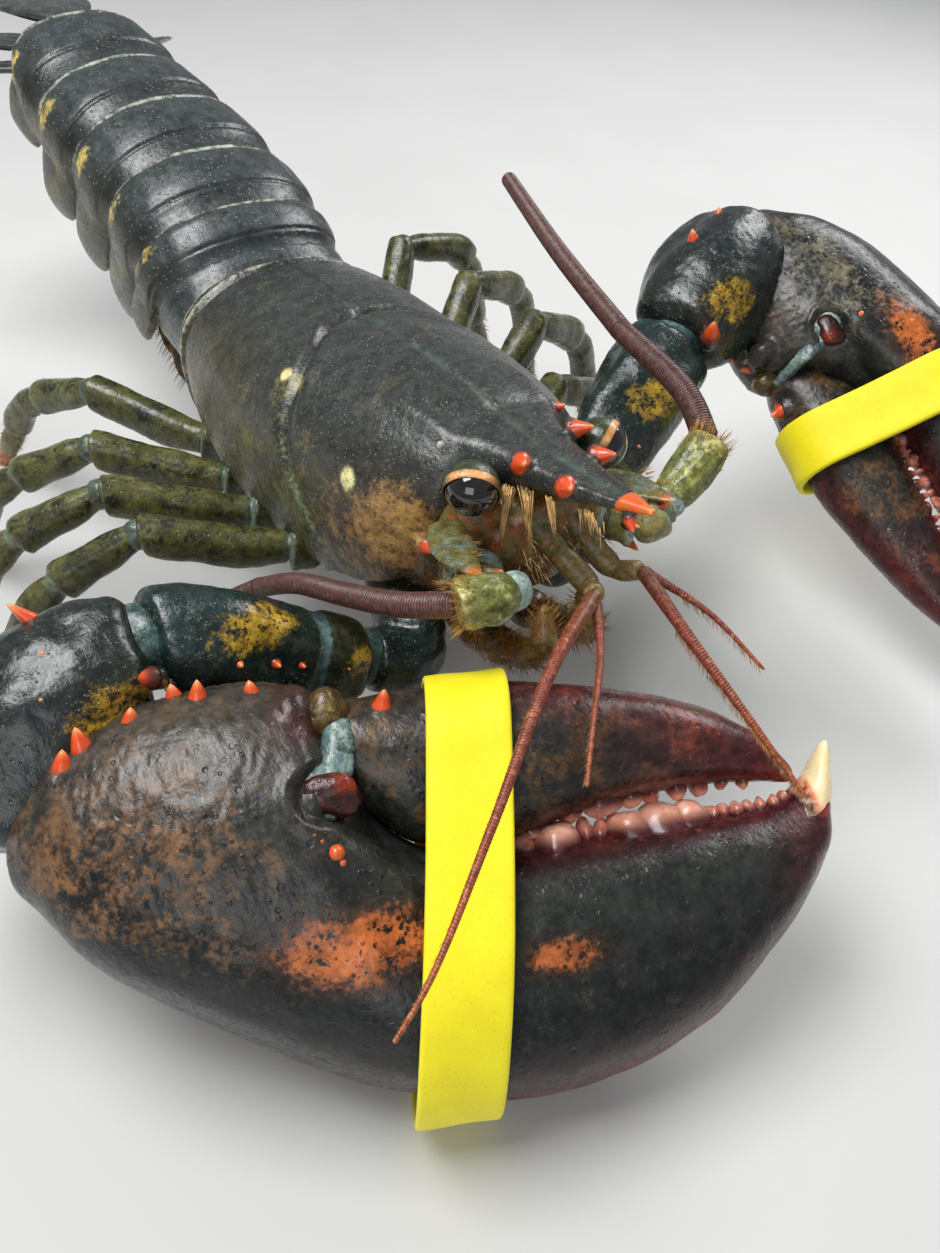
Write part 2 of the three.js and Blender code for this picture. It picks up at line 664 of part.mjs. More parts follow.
// Rubber band round both fingers: a closed strip that follows their outline
function band({ frame, palm, finger, band: [from, to], bandLean }) {
  const crown = at(finger, from)[1];
  const rim = (reach) => {
    const points = [];
    for (const rows of [palm, finger]) {
      for (const s of [from - 1, (from + to) / 2, to + 1]) {
        const [first, second] = at(rows, s);
        const leant = s + bandLean * ((first + second) / 2 - crown);
        const [low, high, thick] = at(rows, leant);
        for (const [a, b] of oval(28, 2.2)) {
          points.push([(low + high) / 2 + a * ((high - low) / 2 + reach), b * (thick + reach)]);
        }
      }
    }
    return hull(points);
  };
  const inner = rim(GAP + 0.1);
  const middle = inner.reduce(([x, y], p) => [x + p[0] / inner.length, y + p[1] / inner.length], [0, 0]);
  const turn = (p) => Math.atan2(p[1] - middle[1], p[0] - middle[0]);
  const count = 32;
  const cast = (outline, angle) => {
    const way = [Math.cos(angle), Math.sin(angle)];
    for (let k = 0; k < outline.length; k += 1) {
      const p = outline[k];
      const q = outline[(k + 1) % outline.length];
      const edge = [q[0] - p[0], q[1] - p[1]];
      const cross = way[0] * edge[1] - way[1] * edge[0];
      const off = [p[0] - middle[0], p[1] - middle[1]];
      const distance = (off[0] * edge[1] - off[1] * edge[0]) / cross;
      const share = (off[0] * way[1] - off[1] * way[0]) / cross;
      if (distance > 0 && share >= -1e-9 && share <= 1 + 1e-9) return distance;
    }
    return 0;
  };
  const angles = inner.map(turn).sort((a, b) => a - b);
  const picks = Array.from({ length: count }, (_, k) => angles[Math.floor((k * angles.length) / count)]);
  const ring = (s, extra) => picks.map((angle) => {
    const reach = cast(inner, angle) + extra;
    const across = middle[0] + Math.cos(angle) * reach;
    return frame.point(s + bandLean * (across - crown), across, middle[1] + Math.sin(angle) * reach);
  });
  const loops = [ring(from, 0), ring(from, BAND_THICKNESS), ring(to, BAND_THICKNESS), ring(to, 0)];
  const points = loops.flat();
  const faces = [];
  for (let r = 0; r < 4; r += 1) {
    for (let k = 0; k < count; k += 1) {
      const a = r * count + k;
      const b = r * count + ((k + 1) % count);
      const c = ((r + 1) % 4) * count + k;
      const d = ((r + 1) % 4) * count + ((k + 1) % count);
      faces.push([a, b, d], [a, d, c]);
    }
  }
  return solid(points, faces);
}

// Arms of the claws: paths from the body to the wrist, with the planes of their joints
const ARMS = {
  right: {
    root: [body(-15, -84, 10), vec(-23, -102, 39), vec(-34, -101, 43)],
    merus: [vec(-34, -101, 43), vec(-56, -94, 51), vec(-76, -89.5, 59)],
    carpus: [vec(-76, -89.5, 59), vec(-97, -91, 51), vec(-118, -101, 38)],
    spines: [
      [vec(-80, -100, 62), unit(0.2, -0.7, 0.6), 8, 2.6],
      [vec(-92, -82, 64), unit(-0.2, 0.4, 0.9), 5, 1.8],
      [vec(-104, -86, 58), unit(-0.5, 0.3, 0.8), 5, 1.8],
      [vec(-112, -96, 53), unit(-0.7, 0, 0.6), 5, 1.8],
    ],
  },
  left: {
    root: [body(15, -84, 10), vec(24, -91, 41), vec(36, -84, 45)],
    merus: [vec(36, -84, 45), vec(58, -72, 57), vec(80, -63, 68)],
    carpus: [vec(80, -63, 68), vec(101, -54, 76), vec(119, -45, 80)],
    spines: [
      [vec(81, -74, 75), unit(-0.4, -0.8, 0.4), 8, 2.6],
      [vec(93, -51, 89), unit(-0.1, 0.3, 0.9), 5, 1.8],
      [vec(105, -47, 91), unit(0.1, 0.3, 0.9), 5, 1.8],
    ],
  },
};
const MERUS_SIZE = [[0, 8, 7.5], [0.3, 10, 9.5], [0.75, 12.5, 12], [1, 11, 10]];
const CARPUS_SIZE = [[0, 10.4, 9.6], [0.2, 14.5, 13.5], [0.55, 17, 16], [0.85, 15, 15], [1, 9, 10]];
const bisector = (a, b) => {
  const before = a[a.length - 1].clone().sub(a[a.length - 2]).normalize();
  return b[1].clone().sub(b[0]).normalize().add(before).normalize();
};
const FLOOR_CUT = [0, 0, 1];
const floorCut = (piece) => piece.trimByPlane(FLOOR_CUT, 0);

const armRoots = {};
for (const word of ["right", "left"]) {
  const claw = CLAWS[word];
  const arm = ARMS[word];
  const { frame } = claw;
  const firstBend = bisector(arm.root, arm.merus);
  const secondBend = bisector(arm.merus, arm.carpus);
  const root = (grow) => limb({
    path: arm.root, size: [[0, 7.5, 7], [0.5, 8, 7.5], [1, 7.8, 7.3]], steps: 6, end: firstBend, grow,
  });
  const merus = (grow) => limb({
    path: arm.merus, size: MERUS_SIZE, steps: 8, sides: 10, square: 2.3, start: firstBend, end: secondBend, grow,
  });
  const carpus = (grow) => limb({
    path: arm.carpus, size: CARPUS_SIZE, steps: 8, sides: 12, square: 2.3, start: secondBend, grow,
  });
  armRoots[word] = root;
  const palm = (grow) => blade(frame, claw.palm, { from: 0, to: claw.length, steps: 22, sides: 14, grow });
  const finger = blade(frame, claw.finger, { from: claw.hinge, to: claw.end, steps: 12, sides: 12 });
  const armSpines = arm.spines.map(([at0, way, length, radius]) => spine(along(at0, way, -3), way, length + 3, radius));
  const palmSpines = claw.spines.map(([s, a]) => {
    const way = along(frame.across.clone(), frame.axis, 0.25 * vary()).normalize();
    return spine(frame.point(s, a - 1.5, 1.5), way, 5.6 + vary(), 1.9);
  });
  const tooth = (rows, edge, push, sign) => ([s, r]) => {
    const line = at(rows, s)[edge];
    return lump(frame.point(s, line + sign * push, 0), [frame.axis, frame.across, frame.out],
      [r * 0.95, r * 0.8, r * 0.9], 0);
  };
  const palmTeeth = claw.teeth.map(tooth(claw.palm, 1, 0.3, -1));
  const fingerTeeth = claw.fingerTeeth.map(tooth(claw.finger, 0, 0.3, 1));
  const [spineAt, spineHigh] = claw.fingerSpine;
  const knob = spine(frame.point(spineAt, spineHigh - 1.5, 2), frame.across, 5, 2);
  const palmBody = join(palm(0), ...palmSpines, ...palmTeeth);
  node(`claw_palm_${word}`, floorCut(clear(palmBody, carpus(GAP), merus(GAP))), DARK);
  const palmGrown = join(palm(GAP), ...claw.teeth.map(([s, r]) => {
    const line = at(claw.palm, s)[1];
    return lump(frame.point(s, line - 0.3, 0), [frame.axis, frame.across, frame.out],
      [r * 0.95, r * 0.8, r * 0.9].map((v) => v + GAP), 0);
  }));
  node(`claw_finger_${word}`, clear(join(finger, knob, ...fingerTeeth), palmGrown), DARK);
  node(`claw_band_${word}`, floorCut(band(claw)), YELLOW);
  node(`claw_carpus_${word}`, clear(join(carpus(0), ...armSpines), merus(GAP)), DARK);
  node(`claw_merus_${word}`, merus(0), DARK);
  node(`claw_root_${word}`, clear(root(0), thoraxBlock(GAP), faceBlock(GAP), carapaceShell(GAP)), OLIVE);
}

// Third maxillipeds: legs of the mouth, folded forward under the head
for (const [word, side] of [["right", -1], ["left", 1]]) {
  const shape = (grow) => limb({
    path: [body(side * 6, -92, 1), body(side * 7, -106, 0), body(side * 7.5, -119, 3),
      body(side * 6.5, -128, 9), body(side * 4.5, -126, 18)],
    size: [[0, 4.2, 3.6], [0.3, 4.6, 4], [0.6, 3.6, 3.2], [0.85, 2.8, 2.6], [1, 1.2, 1.2]],
    steps: 9, grow,
  });
  node(`maxilliped_${word}`,
    clear(shape(0), faceBlock(GAP), thoraxBlock(GAP), carapaceShell(GAP), armRoots[word](GAP)), OLIVE);
}

// Walking legs, front to back: upper length to the knee, lower length to the foot
const LEGS = {
  right: [
    { hip: [-18, -68, 6], knee: vec(-62, -48, 50), wrist: vec(-84, -40, 34), foot: vec(-100, -34, 0) },
    { hip: [-19, -50, 6], knee: vec(-64, -30, 50), wrist: vec(-88, -20, 34), foot: vec(-104, -12, 0) },
    { hip: [-19, -33, 6], knee: vec(-58, -6, 46), wrist: vec(-80, 10, 30), foot: vec(-92, 22, 0) },
    { hip: [-18, -17, 7], knee: vec(-48, 22, 44), wrist: vec(-60, 46, 30), foot: vec(-68, 66, 0) },
  ],
  left: [
    { hip: [18, -68, 6], knee: vec(58, -45, 52), wrist: vec(82, -38, 36), foot: vec(98, -33, 0) },
    { hip: [19, -50, 6], knee: vec(62, -28, 62), wrist: vec(88, -18, 44), foot: vec(106, -12, 0) },
    { hip: [19, -33, 6], knee: vec(56, -4, 64), wrist: vec(84, 8, 48), foot: vec(102, 18, 0) },
    { hip: [18, -17, 7], knee: vec(48, 20, 66), wrist: vec(74, 26, 56), foot: vec(98, 40, 0) },
  ],
};
const FOOT_RADIUS = 1.5;
const PINCER_PAIRS = 2;

// Second finger of a small pincer, which leaves the shin beside its tip
function pincer(wrist, toe, side) {
  const base = wrist.clone().lerp(toe, 0.45);
  const spread = vec(Math.sign(side) * 1.5, -4.2, 1.5);
  const tip = toe.clone().addScaledVector(spread, 0.8).add(vec(0, 0, 5));
  return limb({
    path: [base, base.clone().lerp(tip, 0.5).addScaledVector(spread, 0.45), tip],
    size: [[0, 2.4, 2.6], [0.6, 1.9, 2], [1, 0.5, 0.5]], steps: 4, sides: 6,
  });
}

for (const word of ["right", "left"]) {
  const roots = [];
  LEGS[word].forEach(({ hip, knee, wrist, foot }, index) => {
    const start = body(...hip);
    const rise = start.clone().lerp(knee, 0.5).add(vec(0, 0, -2));
    const lowWrist = wrist.clone();
    const upper = (grow) => limb({
      path: [start, start.clone().lerp(rise, 0.6), rise, knee],
      size: [[0, 4.8, 5.2], [0.3, 4.6, 5.4], [0.6, 4.3, 5.2], [1, 3.8, 4.3]],
      end: bisector([rise, knee], [knee, lowWrist]), steps: 6, sides: 7, grow,
    });
    const toe = foot.clone().add(vec(0, 0, -1.5));
    const shin = limb({
      path: [knee, lowWrist, lowWrist.clone().lerp(toe, 0.55).add(vec(0, 0, 1)), toe],
      size: [[0, 3.8, 4.3], [0.35, 3.7, 4.3], [0.7, 3.1, 3.4], [1, FOOT_RADIUS * 0.8, FOOT_RADIUS]],
      start: bisector([rise, knee], [knee, lowWrist]), steps: 9, sides: 7,
    });
    const lower = index < PINCER_PAIRS ? join(shin, pincer(lowWrist, toe, hip[0])) : shin;
    const others = [thoraxBlock(GAP), carapaceShell(GAP), ...roots];
    if (index === 0) others.push(armRoots[word](GAP));
    node(`leg_${index + 1}_upper_${word}`, clear(upper(0), ...others), OLIVE);
    node(`leg_${index + 1}_lower_${word}`, floorCut(lower), OLIVE);
    roots.push(upper(GAP));
  });
}

// The origin is the middle of the floor that the lobster covers
const box = new THREE.Box3();
for (const { piece } of made) {
  const { min, max } = piece.boundingBox();
  box.expandByPoint(vec(...min)).expandByPoint(vec(...max));
}
const shift = vec(-(box.min.x + box.max.x) / 2, -(box.min.y + box.max.y) / 2, -box.min.z);
for (const { name, piece, material } of made) {
  const { vertProperties, triVerts, numProp } = piece.getMesh();
  const positions = new Float32Array((vertProperties.length / numProp) * 3);
  for (let k = 0; k < positions.length / 3; k += 1) {
    positions.set(vertProperties.subarray(k * numProp, k * numProp + 3), k * 3);
  }
  const geometry = new THREE.BufferGeometry();
  geometry.setAttribute("position", new THREE.BufferAttribute(positions, 3));
  geometry.setIndex(new THREE.BufferAttribute(triVerts, 1));
  const mesh = new THREE.Mesh(geometry, material);
  mesh.name = name;
  mesh.position.copy(shift);
  lobster.add(mesh);
}

export default lobster;
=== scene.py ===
import math

import bpy
import numpy as np
from mathutils import Matrix, Vector


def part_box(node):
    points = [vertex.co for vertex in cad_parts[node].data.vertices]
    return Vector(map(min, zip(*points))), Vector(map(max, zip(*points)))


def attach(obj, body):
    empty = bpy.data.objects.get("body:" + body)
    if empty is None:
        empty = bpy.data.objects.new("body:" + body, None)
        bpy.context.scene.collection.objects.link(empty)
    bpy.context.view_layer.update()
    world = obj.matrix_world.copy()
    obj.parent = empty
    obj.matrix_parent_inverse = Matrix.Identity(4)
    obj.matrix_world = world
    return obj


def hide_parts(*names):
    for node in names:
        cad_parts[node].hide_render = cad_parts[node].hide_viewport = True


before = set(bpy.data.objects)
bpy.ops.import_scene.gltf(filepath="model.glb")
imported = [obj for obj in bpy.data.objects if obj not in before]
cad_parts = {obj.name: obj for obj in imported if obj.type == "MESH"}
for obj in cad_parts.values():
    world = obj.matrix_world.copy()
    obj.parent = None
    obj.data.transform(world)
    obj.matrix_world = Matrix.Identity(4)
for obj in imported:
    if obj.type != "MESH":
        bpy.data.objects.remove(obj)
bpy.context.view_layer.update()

# Sizes shared with the solids, in millimetres
GAP = 0.3
PITCH = math.radians(8)
COS, SIN = math.cos(PITCH), math.sin(PITCH)
BELLY_HEIGHT = 27
ROSTRUM_TIP = 149
EYE_CENTRE = (15.7, -116.5, 44)
STALK_ROOT = (9.5, -110.5, 40.6)
BAND_WIDTH = 15.5
HIP = 0.42
TUCK = 0.86
SIDES = (("right", -1), ("left", 1))
UP = np.array((0.0, 0.0, 1.0))
DRAW = np.random.default_rng(11)

# Sizes of this finer model, in millimetres
FINE_VOXEL = 0.58
VOXEL = 0.6
ROUND_STEPS = 8
THORN_SUNK = 1.0
COARSE_VOXEL = 0.9


def body(x, y, z):
    """Body frame: y = 0 at the rear edge of the carapace, z = 0 on the belly, pitched nose up"""
    x, y, z = np.broadcast_arrays(np.asarray(x, float), y, z)
    return np.stack([x, y * COS + z * SIN, z * COS - y * SIN + BELLY_HEIGHT], -1)


def to_body(points):
    level, height = points[:, 1], points[:, 2] - BELLY_HEIGHT
    return points[:, 0], level * COS - height * SIN, level * SIN + height * COS


def unit(*way):
    way = np.array(way, float)
    return way / np.linalg.norm(way)


def each_unit(ways):
    return ways / np.maximum(np.linalg.norm(ways, axis=-1, keepdims=True), 1e-9)


# The solids were centred on the floor: the left eye gives the same shift here
eye_low, eye_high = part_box("eye_left")
EYE_AT = np.array((eye_low + eye_high) / 2) * 1000
SHIFT = EYE_AT - body(*EYE_CENTRE)


# Camera at the photograph's angle, in millimetres before the shift
CAMERA_AT = (-116.1, -242.9, 212.0)
CAMERA_RIGHT = (0.829, -0.555, 0.07)
CAMERA_BACK = (-0.44, -0.57, 0.694)
PICTURE_HEIGHT = 1253
FOCAL_PIXELS = 1100
SENSOR = 36


def add_camera():
    data = bpy.data.cameras.new("camera")
    data.sensor_width = SENSOR
    data.lens = FOCAL_PIXELS / PICTURE_HEIGHT * SENSOR
    camera = bpy.data.objects.new("camera", data)
    right = Vector(CAMERA_RIGHT).normalized()
    back = Vector(CAMERA_BACK).normalized()
    up = back.cross(right).normalized()
    right = up.cross(back)
    turn = Matrix((right, up, back)).transposed().to_4x4()
    place = (np.array(CAMERA_AT) + SHIFT) / 1000
    camera.matrix_world = Matrix.Translation(Vector(place)) @ turn
    bpy.context.collection.objects.link(camera)
    bpy.context.scene.camera = camera


add_camera()
bpy.context.scene.view_settings.view_transform = "Standard"


# Values at t from rows of [t, value, value, ...], along smooth curves that never overshoot
def at(rows, t):
    rows = np.array(rows, float)
    x, values = rows[:, 0], rows[:, 1:]
    t = np.clip(np.atleast_1d(np.asarray(t, float)), x[0], x[-1])
    rise = np.diff(values, axis=0) / np.diff(x)[:, None]
    slope = np.zeros_like(values)
    slope[0], slope[-1] = rise[0], rise[-1]
    before, after = rise[:-1], rise[1:]
    total = np.where(before + after == 0, 1, before + after)
    slope[1:-1] = np.where(before * after > 0, 2 * before * after / total, 0)
    i = np.clip(np.searchsorted(x, t, side="right") - 1, 0, len(x) - 2)
    span = (x[i + 1] - x[i])[:, None]
    u = (t - x[i])[:, None] / span
    start = values[i] * (1 + 2 * u) * (1 - u) ** 2 + slope[i] * span * u * (1 - u) ** 2
    end = values[i + 1] * u * u * (3 - 2 * u) - slope[i + 1] * span * u * u * (1 - u)
    return (start + end).T


class Route:
    """Smooth line through points, read by its share of the length"""

    def __init__(self, points, fine=40):
        p = np.array(points, float)
        ends = np.vstack([2 * p[0] - p[1], p, 2 * p[-1] - p[-2]])
        runs = []
        for k in range(len(p) - 1):
            a, b, c, d = ends[k:k + 4]
            d0, d1, d2 = (np.linalg.norm(q - r) ** 0.5 for q, r in ((b, a), (c, b), (d, c)))
            m1 = ((b - a) / d0 - (c - a) / (d0 + d1) + (c - b) / d1) * d1
            m2 = ((c - b) / d1 - (d - b) / (d1 + d2) + (d - c) / d2) * d1
            u = np.linspace(0, 1, fine + 1)[:, None]
            run = b + m1 * u + (3 * (c - b) - 2 * m1 - m2) * u ** 2 + (2 * (b - c) + m1 + m2) * u ** 3
            runs.append(run if k == 0 else run[1:])
        self.line = np.vstack(runs)
        steps = np.linalg.norm(np.diff(self.line, axis=0), axis=1)
        self.reach = np.concatenate([[0], np.cumsum(steps)])
        self.length = self.reach[-1]
        self.ways = each_unit(np.gradient(self.line, axis=0))

    def read(self, table, t):
        return np.stack([np.interp(np.asarray(t) * self.length, self.reach, table[:, c])
                         for c in range(3)], -1)

    def point(self, t):
        return self.read(self.line, t)

    def way(self, t):
        return each_unit(self.read(self.ways, t))


# Noise on a lattice, between 0 and 1, with features of the given size
def noise(points, size, seed=0):
    q = np.asarray(points, float) / size + seed * 17.31
    cell = np.floor(q).astype(np.int64)
    f = q - cell
    f = f * f * (3 - 2 * f)
    total = np.zeros(len(q))
    for corner in range(8):
        pick = np.array([(corner >> k) & 1 for k in range(3)])
        c = cell + pick
        h = (c[:, 0] * 73856093) ^ (c[:, 1] * 19349663) ^ (c[:, 2] * 83492791)
        h = ((h ^ (h >> 13)) * 1274126177) & 0x7FFFFFFF
        weight = np.prod(np.where(pick == 1, f, 1 - f), axis=1)
        total += weight * (((h ^ (h >> 16)) & 0xFFFF) / 65535)
    return total


def layers(points, size, seed=0, count=3):
    total = sum(noise(points, size / 2 ** k, seed + k) / 2 ** k for k in range(count))
    return total / sum(1 / 2 ** k for k in range(count))


def soft(low, high, x):
    u = np.clip((np.asarray(x, float) - low) / (high - low), 0, 1)
    return u * u * (3 - 2 * u)


def bell(x, width):
    return np.exp(-(np.asarray(x, float) / width) ** 2)


def blob(points, centre, radii, edge=0.35):
    away = np.sqrt(np.sum(((points - np.array(centre)) / np.array(radii)) ** 2, axis=1))
    return 1 - soft(1 - edge, 1 + edge, away)


# Colours are written as on screen and kept as light
def rgb(text):
    shares = np.array([int(text[k:k + 2], 16) / 255 for k in (1, 3, 5)])
    return np.where(shares <= 0.04045, shares / 12.92, ((shares + 0.055) / 1.055) ** 2.4)


def mix(a, b, share):
    share = np.asarray(share, float)
    share = share[:, None] if share.ndim == 1 else share
    return np.asarray(a) * (1 - share) + np.asarray(b) * share


# Faces: quads are rows of four, and tris rows of three
NO_TRIS = np.zeros((0, 3), np.int64)


def sheet_quads(rows, count, closed=True):
    r = np.arange(rows - 1)[:, None] * count
    k = np.arange(count if closed else count - 1)[None, :]
    nxt = (k + 1) % count
    return np.stack([r + k, r + nxt, r + count + nxt, r + count + k], -1).reshape(-1, 4)


def loft(rings):
    """Closed body over rings of equal count, with a middle point at each end"""
    rows, count = rings.shape[:2]
    points = np.vstack([rings.reshape(-1, 3), rings[0].mean(0), rings[-1].mean(0)])
    k = np.arange(count)
    nxt = (k + 1) % count
    first = np.full(count, rows * count)
    top = (rows - 1) * count
    caps = np.vstack([np.stack([first, nxt, k], 1), np.stack([first + 1, top + k, top + nxt], 1)])
    quads = sheet_quads(rows, count)
    a, b, c = points[quads[:, 0]], points[quads[:, 1]], points[quads[:, 2]]
    if np.sum((a - points.mean(0)) * np.cross(b - a, c - a)) < 0:
        quads, caps = quads[:, ::-1], caps[:, ::-1]
    return points, quads, caps


def fill_mesh(mesh, points, quads, tris):
    loops = np.concatenate([quads.ravel(), tris.ravel()]).astype(np.int32)
    starts = np.concatenate([np.arange(len(quads)) * 4, len(quads) * 4 + np.arange(len(tris)) * 3])
    mesh.vertices.add(len(points))
    mesh.vertices.foreach_set("co", np.asarray(points, np.float32).ravel())
    mesh.loops.add(len(loops))
    mesh.loops.foreach_set("vertex_index", loops)
    mesh.polygons.add(len(starts))
    mesh.polygons.foreach_set("loop_start", starts.astype(np.int32))
    mesh.update(calc_edges=True)


def add_piece(name, skin, look, nodes, colours, values):
    """Smooth mesh on the root body, with named colours and numbers at its points"""
    points, quads, tris = skin
    mesh = bpy.data.meshes.new(name)
    fill_mesh(mesh, (points + SHIFT) / 1000, quads, tris)
    for title, rows in colours.items():
        layer = mesh.attributes.new(title, "FLOAT_COLOR", "POINT")
        full = np.hstack([rows, np.ones((len(rows), 1))])
        layer.data.foreach_set("color", full.astype(np.float32).ravel())
    for title, rows in values.items():
        layer = mesh.attributes.new(title, "FLOAT", "POINT")
        layer.data.foreach_set("value", rows.astype(np.float32))
    mesh.polygons.foreach_set("use_smooth", np.ones(len(mesh.polygons), bool))
    mesh.materials.append(look)
    piece = bpy.data.objects.new(name, mesh)
    bpy.context.collection.objects.link(piece)
    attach(piece, "root")
    if nodes:
        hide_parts(*nodes)
    return mesh


def union(parts, voxel):
    """One skin round closed parts that overlap"""
    points, quads, tris, count = [], [], [], 0
    for p, q, t in parts:
        points.append(p)
        quads.append(q + count)
        tris.append(t + count)
        count += len(p)
    mesh = bpy.data.meshes.new("union")
    fill_mesh(mesh, np.vstack(points), np.vstack(quads), np.vstack(tris))
    holder = bpy.data.objects.new("union", mesh)
    bpy.context.collection.objects.link(holder)
    change = holder.modifiers.new("remesh", "REMESH")
    change.mode = "VOXEL"
    change.voxel_size = voxel
    seen = holder.evaluated_get(bpy.context.evaluated_depsgraph_get())
    made = seen.to_mesh()
    out = np.zeros(len(made.vertices) * 3)
    made.vertices.foreach_get("co", out)
    corners = np.zeros(len(made.loops), np.int64)
    made.loops.foreach_get("vertex_index", corners)
    sizes = np.zeros(len(made.polygons), np.int64)
    made.polygons.foreach_get("loop_total", sizes)
    starts = np.cumsum(sizes) - sizes
    new_quads = corners[starts[sizes == 4][:, None] + np.arange(4)]
    new_tris = corners[starts[sizes == 3][:, None] + np.arange(3)]
    seen.to_mesh_clear()
    bpy.data.objects.remove(holder)
    bpy.data.meshes.remove(mesh)
    return out.reshape(-1, 3), new_quads, new_tris


def edges_of(quads, tris):
    pairs = [faces[:, [k, (k + 1) % faces.shape[1]]] for faces in (quads, tris)
             for k in range(faces.shape[1])]
    both = np.sort(np.vstack(pairs), axis=1)
    return np.unique(both, axis=0)


def relax(skin, times, share=0.5):
    """Evens out a skin: each pass moves every point towards its neighbours"""
    points, quads, tris = skin
    a, b = edges_of(quads, tris).T
    count = len(points)
    degree = np.maximum(np.bincount(a, minlength=count) + np.bincount(b, minlength=count), 1)
    points = points.copy()
    for turn in range(times):
        pull = share if turn % 2 == 0 else share * 0.6
        for c in range(3):
            near = np.bincount(a, points[b, c], count) + np.bincount(b, points[a, c], count)
            points[:, c] += pull * (near / degree - points[:, c])
    return points, quads, tris


def normals_of(skin):
    points, quads, tris = skin
    total = np.zeros_like(points)
    for faces in (quads, tris):
        if not len(faces):
            continue
        far = faces[:, 3] if faces.shape[1] == 4 else faces[:, 2]
        near = faces[:, 1]
        across = np.cross(points[faces[:, 2]] - points[faces[:, 0]], points[far] - points[near])
        if faces.shape[1] == 3:
            across = np.cross(points[near] - points[faces[:, 0]], points[far] - points[faces[:, 0]])
        for k in range(faces.shape[1]):
            for c in range(3):
                total[:, c] += np.bincount(faces[:, k], across[:, c], len(points))
    return each_unit(total)


def push(skin, amount):
    points, quads, tris = skin
    return points + normals_of(skin) * np.asarray(amount)[:, None], quads, tris


# Rounded section, a circle at squareness 2 and boxier above it
def oval(sides, squareness=2.0):
    angle = 2 * np.pi * (np.arange(sides) + 0.5) / sides
    cos, sin = np.cos(angle), np.sin(angle)
    bend = 2 / squareness
    return np.sign(cos) * np.abs(cos) ** bend, np.sign(sin) * np.abs(sin) ** bend, angle


def tube(path, size, steps, sides, square=2.0, start=None, end=None, rounds=(0, 0), shape=None):
    """Limb along a path, with its share of the length and its angle at each point"""
    route = Route(path)
    arc = 1 - np.cos(np.linspace(0, np.pi / 2, ROUND_STEPS))
    places = [np.linspace(0, 1, steps + 1)]
    if rounds[0]:
        places.append(arc * rounds[0] / route.length)
    if rounds[1]:
        places.append(1 - arc * rounds[1] / route.length)
    t = np.unique(np.concatenate(places).round(5))
    normal = route.way(t)
    if start is not None:
        normal += (start - normal) * np.maximum(0, 1 - t * 3)[:, None]
    if end is not None:
        normal += (end - normal) * np.maximum(0, t * 3 - 2)[:, None]
    normal = each_unit(normal)
    side = each_unit(np.cross(normal, UP))
    rise = np.cross(side, normal)
    wide, high = at(size, t)
    fit = np.ones(len(t))
    for k, reach in enumerate(rounds):
        if reach:
            away = np.clip((t if k == 0 else 1 - t) * route.length / reach, 0, 1)
            fit *= np.sqrt(np.maximum(1 - (1 - away) ** 2, 0.0016))
    a, b, angle = oval(sides, square)
    centre = route.point(t)
    centre[0] += normal[0] * GAP / 2
    centre[-1] -= normal[-1] * GAP / 2
    swell = 1 if shape is None else shape(t[:, None], angle[None, :], route.length)
    w = wide[:, None] * fit[:, None] * swell * a[None, :]
    h = high[:, None] * fit[:, None] * swell * b[None, :]
    rings = centre[:, None] + side[:, None] * w[..., None] + rise[:, None] * h[..., None]
    return loft(rings), np.append(np.repeat(t, sides), [0, 1]), np.append(np.tile(angle, len(t)), [0, 0])


def thorn(root, way, length, radius):
    """Blunt cone with its root sunk, and the share of its height at each point"""
    sides = 12
    t = np.concatenate([[-THORN_SUNK / length], np.linspace(0, 1, 9) ** 0.8])
    side = each_unit(np.cross(way, (0.31, 0.22, 0.93)))
    rise = np.cross(side, way)
    clipped = np.clip(t, 0, 1)
    wide = radius * (1 - clipped ** 1.6) ** 0.75 * (1 + 0.45 * (1 - clipped) ** 5)
    wide = np.maximum(wide, 0.02)
    a, b, _ = oval(sides)
    centre = np.array(root) + np.outer(t * length, way)
    rings = centre[:, None] + (wide[:, None] * a)[..., None] * side + (wide[:, None] * b)[..., None] * rise
    return loft(rings), np.append(np.repeat(t, sides), [t[0], 1])


def lump(centre, axes, radii, sides=20, rough=0.0, seed=0):
    """Rounded lump on three axes, such as a tooth or a knob"""
    rows = sides // 2 + 1
    polar = np.linspace(0.02, np.pi - 0.02, rows)
    turn = 2 * np.pi * np.arange(sides) / sides
    x = np.sin(polar)[:, None] * np.cos(turn)
    y = np.sin(polar)[:, None] * np.sin(turn)
    z = np.cos(polar)[:, None] * np.ones(sides)
    local = np.stack([x, y, z], -1)
    if rough:
        local *= 1 + rough * (noise(local.reshape(-1, 3), 0.7, seed).reshape(rows, sides, 1) - 0.5)
    local = local * np.array(radii)
    return loft(np.array(centre) + local @ np.array(axes))


class Skin:
    """Piece under construction: parts in millimetres, each with its colours"""

    def __init__(self):
        self.parts = []
        self.count = 0

    def add(self, skin, base, mark=None, share=0.0, pock=0.0):
        points, quads, tris = skin
        n = len(points)
        mark = base if mark is None else mark
        colours = [np.broadcast_to(np.asarray(v, float), (n, 3)) for v in (base, mark)]
        values = [np.broadcast_to(np.asarray(v, float), (n,)) for v in (share, pock)]
        self.parts.append((points, quads + self.count, tris + self.count, *colours, *values))
        self.count += n
        return self

    def build(self, name, look, slot, *nodes):
        points, quads, tris, base, mark, share, pock = (np.concatenate(v) for v in zip(*self.parts))
        colours, values = {"tint": base, "mark": mark}, {"share": share, "pock": pock}
        add_piece(name, (points, quads, tris), look, nodes, colours, values)


